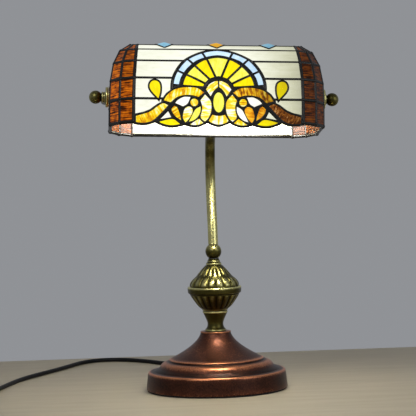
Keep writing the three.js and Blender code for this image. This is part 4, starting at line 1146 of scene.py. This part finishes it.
def base_profile():
    """The spun copper outline from the skirt's foot to the cone's top, as (radius, z, value); the value mixes
    wear with painted highlights, high along the shoulder, torus and ridge.
    """
    skirt = [(BASE_RADIUS - 1.6, 2.3, 0.2), (BASE_RADIUS, 2.3, 0.5), (87.1, 3.6, 0.45), (86.6, 9, 0.22),
             (85.9, 16, 0.2), (85.3, 20.5, 0.3), (84.9, 22.4, 0.75), (84.0, 23.5, 1.0), (82.6, 24.0, 0.8)]
    hollow = [(80.0, 24.2, 0.15), (76.8, 24.7, 0.08), (73.8, 25.8, 0.08), (71.6, 27.4, 0.15)]
    torus = [(70.4, 29.4, 0.35), (69.0, 31.6, 0.62), (67.0, 33.6, 0.8), (64.2, 35.0, 0.8),
             (61.4, 35.6, 0.5), (59.6, 35.8, 0.15)]
    ridge = [(58.8, 36.2, 0.0), (58.6, 37.2, 0.1), (58.4, 38.2, 0.85), (57.4, 38.9, 1.0), (56.2, 39.2, 0.7)]
    cone = []
    foot, start = 57.0, 38.6
    steps = 30
    for i in range(1, steps + 1):
        t = i / steps
        radius = CONE_TOP + (foot - CONE_TOP) * (1 - t) ** 1.75
        # painted reflection of the bulb: the cone is brightest a little below halfway up
        wear_with_sheen = 0.42 - 0.16 * abs(t - 0.45)
        cone.append((radius, start + (BASE_HEIGHT - start) * t, wear_with_sheen))
    cone[-1] = (CONE_TOP, BASE_HEIGHT - 1.6, 0.45)
    lip = [(CONE_TOP + 0.5, BASE_HEIGHT - 1.2, 0.8), (CONE_TOP + 0.5, BASE_HEIGHT - 0.4, 0.9),
           (CONE_TOP - 0.2, BASE_HEIGHT, 0.8), (6.0, BASE_HEIGHT, 0.2)]
    return skirt + hollow + torus + ridge + cone[1:] + lip


def make_base():
    outer = rounded(base_profile(), 1)
    inner = [(5.4, BASE_HEIGHT - BASE_WALL, 0.1), (17.4, BASE_HEIGHT - BASE_WALL, 0.1), (30, 48, 0.1),
             (55.4, 35.5, 0.1), (83.2, 21.8, 0.1), (BASE_RADIUS - BASE_WALL, 2.3, 0.1)]
    points, faces, wear_and_sheen = turned(outer + inner, 180)
    piece("copper_base", points, faces, "stand", MATERIALS["copper"], ("base_shell",),
          attributes={"wear_and_sheen": wear_and_sheen})
    pad = rounded([(0, 2.0, 0), (85.6, 2.0, 0), (86.1, 1.0, 0), (85.8, 0.0, 0), (0, 0.0, 0)], 1)
    points, faces, wear_and_sheen = turned(pad, 120)
    piece("felt_pad", points, faces, "stand", MATERIALS["felt"], ("base_pad",),
          attributes={"wear_and_sheen": wear_and_sheen})


# ---------------------------------------------------------------- column
def span_of(node):
    low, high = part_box(node)
    return low.z / MM, high.z / MM


FLUTES = 20


def petal_row(index_low, index_high, height, count, phase, sharp):
    """A bump function: a row of rounded petals between two rings of the profile."""

    def bump(angle, i):
        if not index_low <= i <= index_high:
            return 0.0, 0.0
        t = (i - index_low) / (index_high - index_low)
        swell = math.sin(math.pi * min(1.0, t * 1.08)) ** 0.6 if t < 0.93 else 0.15
        across = abs(math.cos(count * angle / 2 + phase)) ** sharp
        push = height * swell * (across - 0.45)
        # The second value is added to the wear and highlight value: higher on the petals' crowns, lower in
        # the grooves between them.
        return push, 0.75 * (across - 0.55) * swell

    return bump


ROD_BORE = 5.2
DOME_PETALS = 18


def on_rod(name, node, profile, sides=128, bump=None, rounds=2):
    """A turned brass piece with the rod's bore through it."""
    soft = rounded(profile, rounds)

    def shifted(angle, i):
        return bump(angle, i - 1) if 1 <= i <= len(soft) else (0.0, 0.0)

    ring = [(ROD_BORE, profile[0][1], 0.1), *soft, (ROD_BORE, profile[-1][1], 0.1)]
    brass_piece(name, node, "stand", *turned(ring, sides, shifted if bump else None))


def make_vase():
    low, high = span_of("column_vase")
    on_rod("vase", "column_vase", [
        (13.1, low, 0.4), (13.1, low + 1.4, 0.8), (12.4, low + 2.4, 0.5), (10.6, low + 4.2, 0.25),
        (9.7, low + 7.4, 0.35), (9.7, low + 10.2, 0.4), (10.8, low + 13.6, 0.3), (12.8, low + 18.2, 0.3),
        (14.6, high - 2.9, 0.35), (15.5, high - 2.0, 0.9), (15.6, high - 0.8, 0.9), (15.0, high, 0.4)])


def make_urn_bowl():
    """The urn's lower half, fluted from its foot to its rim."""
    low, high = span_of("urn_lower_bowl")
    foot, rim = 16.4, 30.2
    rings = 30
    bowl = [(14.2, low, 0.3), (15.8, low + 0.8, 0.7), (15.9, low + 2.0, 0.6)]
    first = len(bowl)
    for i in range(rings + 1):
        t = i / rings
        radius = foot + (rim - foot) * (t ** 0.78)
        bowl.append((radius, low + 2.2 + (high - low - 3.6) * t, 0.22 + 0.12 * t))
    bowl += [(30.4, high - 1.2, 0.25), (30.6, high, 0.2)]

    def flutes(angle, i):
        if not first <= i <= first + rings:
            return 0.0, 0.0
        t = (i - first) / rings
        depth = 1.1 * smoothstep(0.0, 0.25, t) * (1 - smoothstep(0.9, 1.0, t))
        across = abs(math.sin(FLUTES * angle / 2)) ** 0.7
        # The second value is added to the wear and highlight value: higher on the ridges, lower in the
        # flutes.
        return depth * (across - 0.7), 0.6 * (across - 0.62) * smoothstep(0, 0.2, t)

    on_rod("urn_bowl", "urn_lower_bowl", bowl, 320, flutes, 0)


def make_urn_belt():
    low, high = span_of("urn_belt")
    # painted highlight: the band's top edge is the brightest
    on_rod("urn_band", "urn_belt", [
        (31.4, low, 0.1), (32.6, low + 0.8, 0.35), (33.0, low + 2.2, 0.3), (33.1, low + 4.6, 0.3),
        (33.3, high - 1.8, 0.6), (33.2, high - 0.7, 1.0), (32.4, high, 0.85)], 160)


def make_urn_dome():
    """The urn's upper half, embossed with two rows of petals."""
    low, high = span_of("urn_upper_dome")
    foot, neck = 30.0, 10.4
    rings = 46
    dome = []
    for i in range(rings + 1):
        t = i / rings
        radius = neck + (foot - neck) * (1 - t**1.22)
        radius += 1.5 * math.sin(2 * math.pi * t) * (1 - t)
        dome.append((radius, low + (high - low) * t, 0.36))
    split = int(rings * 0.52)
    lower = petal_row(0, split, 1.9, DOME_PETALS, 0.0, 0.5)
    upper = petal_row(split, rings - 3, 1.5, DOME_PETALS, math.pi / 2, 0.8)

    def embossed(angle, i):
        return lower(angle, i) if i <= split else upper(angle, i)

    on_rod("urn_dome", "urn_upper_dome", dome, 360, embossed, 0)


def make_urn_collar():
    low, high = span_of("urn_collar")
    on_rod("urn_neck_rings", "urn_collar", [
        (9.0, low, 0.3), (9.6, low + 0.6, 0.8), (9.6, low + 2.0, 0.8), (9.0, low + 2.9, 0.4),
        (7.8, low + 3.4, 0.05), (8.0, low + 4.2, 0.7), (8.0, low + 5.2, 0.7), (7.0, low + 6.0, 0.15),
        (6.6, low + 7.0, 0.2), (6.7, high, 0.2)])


def make_neck_ball():
    low, high = span_of("neck_ball")
    reach, radius = (high - low) / 2, 9.9
    steps = 32
    ball = []
    for i in range(steps + 1):
        z = -reach + 2 * reach * i / steps
        # painted highlight: the ball is brighter towards its top
        ball.append((math.sqrt(radius**2 - z**2), low + reach + z, 0.45 + 0.25 * (z / reach)))
    on_rod("neck_knob", "neck_ball", ball, 96, None, 0)


def make_column():
    make_vase()
    make_urn_bowl()
    make_urn_belt()
    make_urn_dome()
    make_urn_collar()
    make_neck_ball()


# ---------------------------------------------------------------- stem and yoke
STEM_RADIUS, STEM_BACK = 6.1, 19.0
PIVOT_FORWARD, PIVOT_HEIGHT = 105.0, 357.0  # with the head level
HUB_BEHIND, HUB_BELOW = 83.0, 35.0
ARM_RADIUS, EYE_RADIUS, EYE_INNER, EYE_OUTER = 4.3, 12.0, 126.1, 129.1
HUB_HALF = 12.0


def wear_and_sheen_along(points, low, high, wear_with_sheen=0.5):
    """Wear and painted highlight for a tube: brighter towards its lower end."""
    return [wear_with_sheen + 0.35 * (1 - smoothstep(low, high, p[2])) for p in points]


def make_stem():
    hub = Vector((0, HUB_BEHIND - PIVOT_FORWARD, PIVOT_HEIGHT - HUB_BELOW))
    low = span_of("gooseneck_stem")[0]
    rise = hub.z - low
    curve = catmull([
        (0, 0, low - 2), (0, STEM_BACK * 0.27, low + rise * 0.17),
        (0, STEM_BACK * 0.76, low + rise * 0.37),
        (0, STEM_BACK, low + rise * 0.55), (0, STEM_BACK * 0.8, low + rise * 0.73),
        (0, STEM_BACK * 0.1, low + rise * 0.89), (0, hub.y * 0.62, hub.z - 4.5)], 90)
    points, faces = tube(curve, STEM_RADIUS, 40)
    points = [(x, y, max(z, low)) for x, y, z in points]
    # painted highlight: the stem is brighter low down, where the bulb's light falls on it
    wear_and_sheen = wear_and_sheen_along(points, low + 60, hub.z - 30)
    brass_piece("gooseneck", "gooseneck_stem", "stand", points, faces, wear_and_sheen)
    half = HUB_HALF
    profile = rounded([(0, -half, 0.4), (7.0, -half, 0.7), (8.0, -half + 2.4, 0.3),
                       (10.0, -half + 3.8, 0.9), (10.0, -half + 5.4, 0.6), (10.0, half - 5.4, 0.6),
                       (10.0, half - 3.8, 0.9), (8.0, half - 2.4, 0.3), (7.0, half, 0.7),
                       (0, half, 0.4)], 2)
    points, faces, wear_and_sheen = turned(profile, 64)
    place = HEAD @ Matrix.Translation((0, HUB_BEHIND, -HUB_BELOW)) @ Matrix.Rotation(math.pi / 2, 4, "Y")
    brass_piece("yoke_socket", "yoke_hub", "stand", points, faces, wear_and_sheen, place)


def make_arm(side, label):
    along = EYE_INNER + ARM_RADIUS
    steps = 70
    curve = catmull([
        (side * (HUB_HALF + 0.3), HUB_BEHIND, -HUB_BELOW), (side * along * 0.36, HUB_BEHIND, -HUB_BELOW),
        (side * along * 0.66, HUB_BEHIND * 0.99, -HUB_BELOW * 0.7),
        (side * along * 0.87, HUB_BEHIND * 0.93, -HUB_BELOW * 0.32),
        (side * along * 0.97, HUB_BEHIND * 0.75, -HUB_BELOW * 0.14),
        (side * along, HUB_BEHIND * 0.48, -HUB_BELOW * 0.11),
        (side * (along - 2.2), EYE_RADIUS - 2.5, -4)], steps)
    radii = [ARM_RADIUS * (1 - 0.34 * smoothstep(0.9, 1.0, i / steps)) for i in range(steps + 1)]
    rod, rod_faces = tube(curve, radii, 28)
    bore = 4.6
    eye = rounded([(bore, EYE_INNER, 0.2), (EYE_RADIUS - 0.6, EYE_INNER, 0.5),
                   (EYE_RADIUS, EYE_INNER + 0.6, 0.9),
                   (EYE_RADIUS, EYE_OUTER - 0.6, 0.9), (EYE_RADIUS - 0.6, EYE_OUTER, 0.6),
                   (bore, EYE_OUTER, 0.2)], 1)
    points, faces, wear_and_sheen = turned(eye, 64)
    points = [(side * z, side * x if side > 0 else x, y) for x, y, z in points]
    if side < 0:
        faces = flipped(faces)
    all_points, all_faces = joined([(rod, rod_faces), (points, faces)])
    wear_with_sheen = wear_and_sheen_along(rod, -60, -40, 0.25) + wear_and_sheen
    brass_piece(f"yoke_{label}", f"yoke_arm_{label}", "stand", all_points, all_faces, wear_with_sheen, HEAD)


def make_finial(side, label, collar):
    """A ball finial on its ringed collar, turned about the pivots' axis."""
    start = EYE_OUTER + 0.3
    radius, ring = 7.8, 6.6
    ball_start = start + collar
    centre = ball_start + radius - 1.2
    bore = 4.7
    profile = [(0, centre, 0), (bore, centre, 0), (bore, start, 0.1)]
    rings = 2 if collar > 3 else 1
    step = collar / rings
    for i in range(rings):
        at = start + i * step
        profile += [(ring - 0.5, at + 0.05, 0.3), (ring, at + step * 0.3, 0.95),
                    (ring, at + step * 0.6, 0.9), (ring - 1.1, at + step * 0.9, 0.05)]
    first = math.acos((centre - ball_start) / radius)
    ball = []
    for i in range(25):
        a = (math.pi - first) * (1 - i / 24)
        ball.append((radius * math.sin(a), centre + radius * math.cos(a), 0.25 + 0.45 * (i / 24)))
    ball[-1] = (0, ball[-1][1], 0.75)
    points, faces, wear_and_sheen = turned(profile + ball, 72)
    points = [(side * z, x, side * y) for x, y, z in points]
    brass_piece(f"ball_{label}", f"finial_{label}", "shade", points, faces, wear_and_sheen, SHADE)


PLATE_THICKNESS = 1.0


def make_end_plate(side, label):
    inner = END_HALF + 0.3
    outer = inner + PLATE_THICKNESS
    plate = rounded([(4.7, inner, 0.2), (12.6, inner, 0.6), (13.0, inner + 0.5, 1.0),
                     (12.4, outer, 0.8), (4.7, outer, 0.3)], 1)
    points, faces, wear_and_sheen = turned(plate, 64)
    points = [(side * z, x, side * y) for x, y, z in points]
    brass_piece(f"washer_{label}", f"end_plate_{label}", "shade", points, faces, wear_and_sheen, SHADE)


# ---------------------------------------------------------------- cord
CORD = 5.5
LAY = CORD / 2 + 0.05
COIL_CENTRE = (-334.0, -140.0)
COIL_LOW = 1.1 + CORD / 2
COIL_RADII = (36.5, 31.0, 25.5)
ROUTE = [
    (0, 117.2, 9), (-1, 132, 8.2), (-5, 152, 5.6), (-13, 178, 3.2), (-26, 205, LAY), (-43, 234, LAY),
    (-62, 262, LAY), (-83, 288, LAY), (-106, 308, LAY), (-131, 317, LAY), (-153, 311, LAY),
    (-170, 293, LAY), (-183, 267, LAY), (-197, 237, LAY), (-214, 204, LAY), (-232, 170, LAY),
    (-248, 133, LAY), (-260, 95, LAY), (-270, 57, LAY), (-278, 24, 3.6), (-285, 4, 6),
    (-288, -13, 6.5), (-291.1, -44.1, 6.5), (-294.2, -75.3, 6.5), (-295.6, -90, 4.8),
    (-296.8, -104, 3.4), (-297.5, -122, 3.2),
]


def coil_points():
    """The coil's turns: clockwise, the lower layer inwards, then the upper layer outwards."""
    made = []
    per_turn = 36
    turns = [*COIL_RADII, *reversed(COIL_RADII)]
    for t, radius in enumerate(turns):
        following = turns[t + 1] if t + 1 < len(turns) else radius
        layer, next_layer = t // 3, min((t + 1) // 3, 1)
        for i in range(per_turn):
            share = smoothstep(0.78, 1.0, i / per_turn)
            angle = -2 * math.pi * i / per_turn
            r = radius + (following - radius) * share
            z = COIL_LOW + (CORD - 0.1) * (layer + (next_layer - layer) * share)
            made.append((COIL_CENTRE[0] + r * math.cos(angle), COIL_CENTRE[1] + r * math.sin(angle), z))
    top = COIL_LOW + CORD - 0.1
    x = COIL_CENTRE[0] + COIL_RADII[0]
    made += [(x, COIL_CENTRE[1], top), (x, COIL_CENTRE[1] - 10, top - 0.3), (x, COIL_CENTRE[1] - 17, 7.6)]
    return made


def make_cord():
    path = [tuple(p) for p in catmull(ROUTE, 150)] + coil_points()
    curve = bpy.data.curves.new("cord", "CURVE")
    curve.dimensions = "3D"
    curve.bevel_depth = CORD / 2 * MM
    curve.bevel_resolution = 6
    curve.use_fill_caps = True
    spline = curve.splines.new("POLY")
    spline.points.add(len(path) - 1)
    for point, place in zip(spline.points, path):
        point.co = (*(v * MM for v in place), 1.0)
    spline.use_smooth = True
    curve.materials.append(MATERIALS["cord"])
    cord = bpy.data.objects.new("cord", curve)
    bpy.context.scene.collection.objects.link(cord)
    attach(cord, "stand")
    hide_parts("cord_long_lead", "cord_short_lead", "cord_coil")


# ---------------------------------------------------------------- CAD nodes that stay
def dress_nodes():
    """The CAD nodes whose shape is right get their materials."""
    chosen = {
        "base_weight": "iron", "rod_nut": "steel", "threaded_rod": "steel", "pivot_screw": "brass",
        "pivot_nipple": "brass", "lampholder": "moulding", "bulb_cap": "steel", "bulb_globe": "bulb",
        "strain_relief": "cord", "switch_housing": "moulding", "switch_rocker": "moulding",
        "cord_tie": "moulding", "plug": "moulding",
    }
    for node, material in chosen.items():
        for slot in frame["nodes"][node].material_slots:
            slot.material = MATERIALS[material]


# ---------------------------------------------------------------- stage
TABLE_FAR_EDGE = 0.365  # metres


def make_stage():
    """A pale table against a plain grey room, and soft light from above and both sides."""
    table = Nodes("pale_table")
    wood = table.noise(table.object_space((1.2, 9.0, 1.0)), 6.0, 5.0, 0.6)
    table.set(Base_Color=table.ramp(wood, [(0.3, (0.33, 0.285, 0.205)), (0.7, (0.39, 0.34, 0.25))]),
              Roughness=0.5)
    mesh = bpy.data.meshes.new("table_top")
    corners = [(-1.5, -2.2, 0), (1.5, -2.2, 0), (1.5, TABLE_FAR_EDGE, 0), (-1.5, TABLE_FAR_EDGE, 0)]
    mesh.from_pydata(corners, [], [(0, 1, 2, 3)])
    mesh.materials.append(table.material)
    top = bpy.data.objects.new("table_top", mesh)
    bpy.context.scene.collection.objects.link(top)

    def area(name, place, target, size, power, color):
        light = bpy.data.lights.new(name, "AREA")
        light.shape, light.size, light.energy, light.color = "DISK", size, power, color
        made = bpy.data.objects.new(name, light)
        bpy.context.scene.collection.objects.link(made)
        made.location = place
        made.rotation_mode = "QUATERNION"
        made.rotation_quaternion = (Vector(target) - Vector(place)).to_track_quat("-Z", "Y")

    area("key_light", (-0.9, -1.7, 1.6), (0, 0, 0.2), 1.2, 16.0, (1.0, 0.98, 0.95))
    area("fill_light", (1.3, -1.2, 0.9), (0, 0, 0.2), 1.2, 8.0, (0.96, 0.98, 1.0))
    world = bpy.data.worlds.new("room")
    world.use_nodes = True
    world.node_tree.nodes["Background"].inputs["Color"].default_value = (0.62, 0.64, 0.68, 1)
    world.node_tree.nodes["Background"].inputs["Strength"].default_value = 0.45
    bpy.context.scene.world = world
    bpy.context.scene.view_settings.view_transform = "Standard"


# ---------------------------------------------------------------- assembly
rng = random.Random(7)
make_materials()
make_camera()
make_cord()
make_front(rng)
make_tiles(rng)
make_solder(rng)
make_jewels()
make_base()
make_column()
make_stem()
for side, label, collar in ((-1, "left", 4.6), (1, "right", 1.6)):
    make_arm(side, label)
    make_finial(side, label, collar)
    make_end_plate(side, label)
dress_nodes()
make_stage()
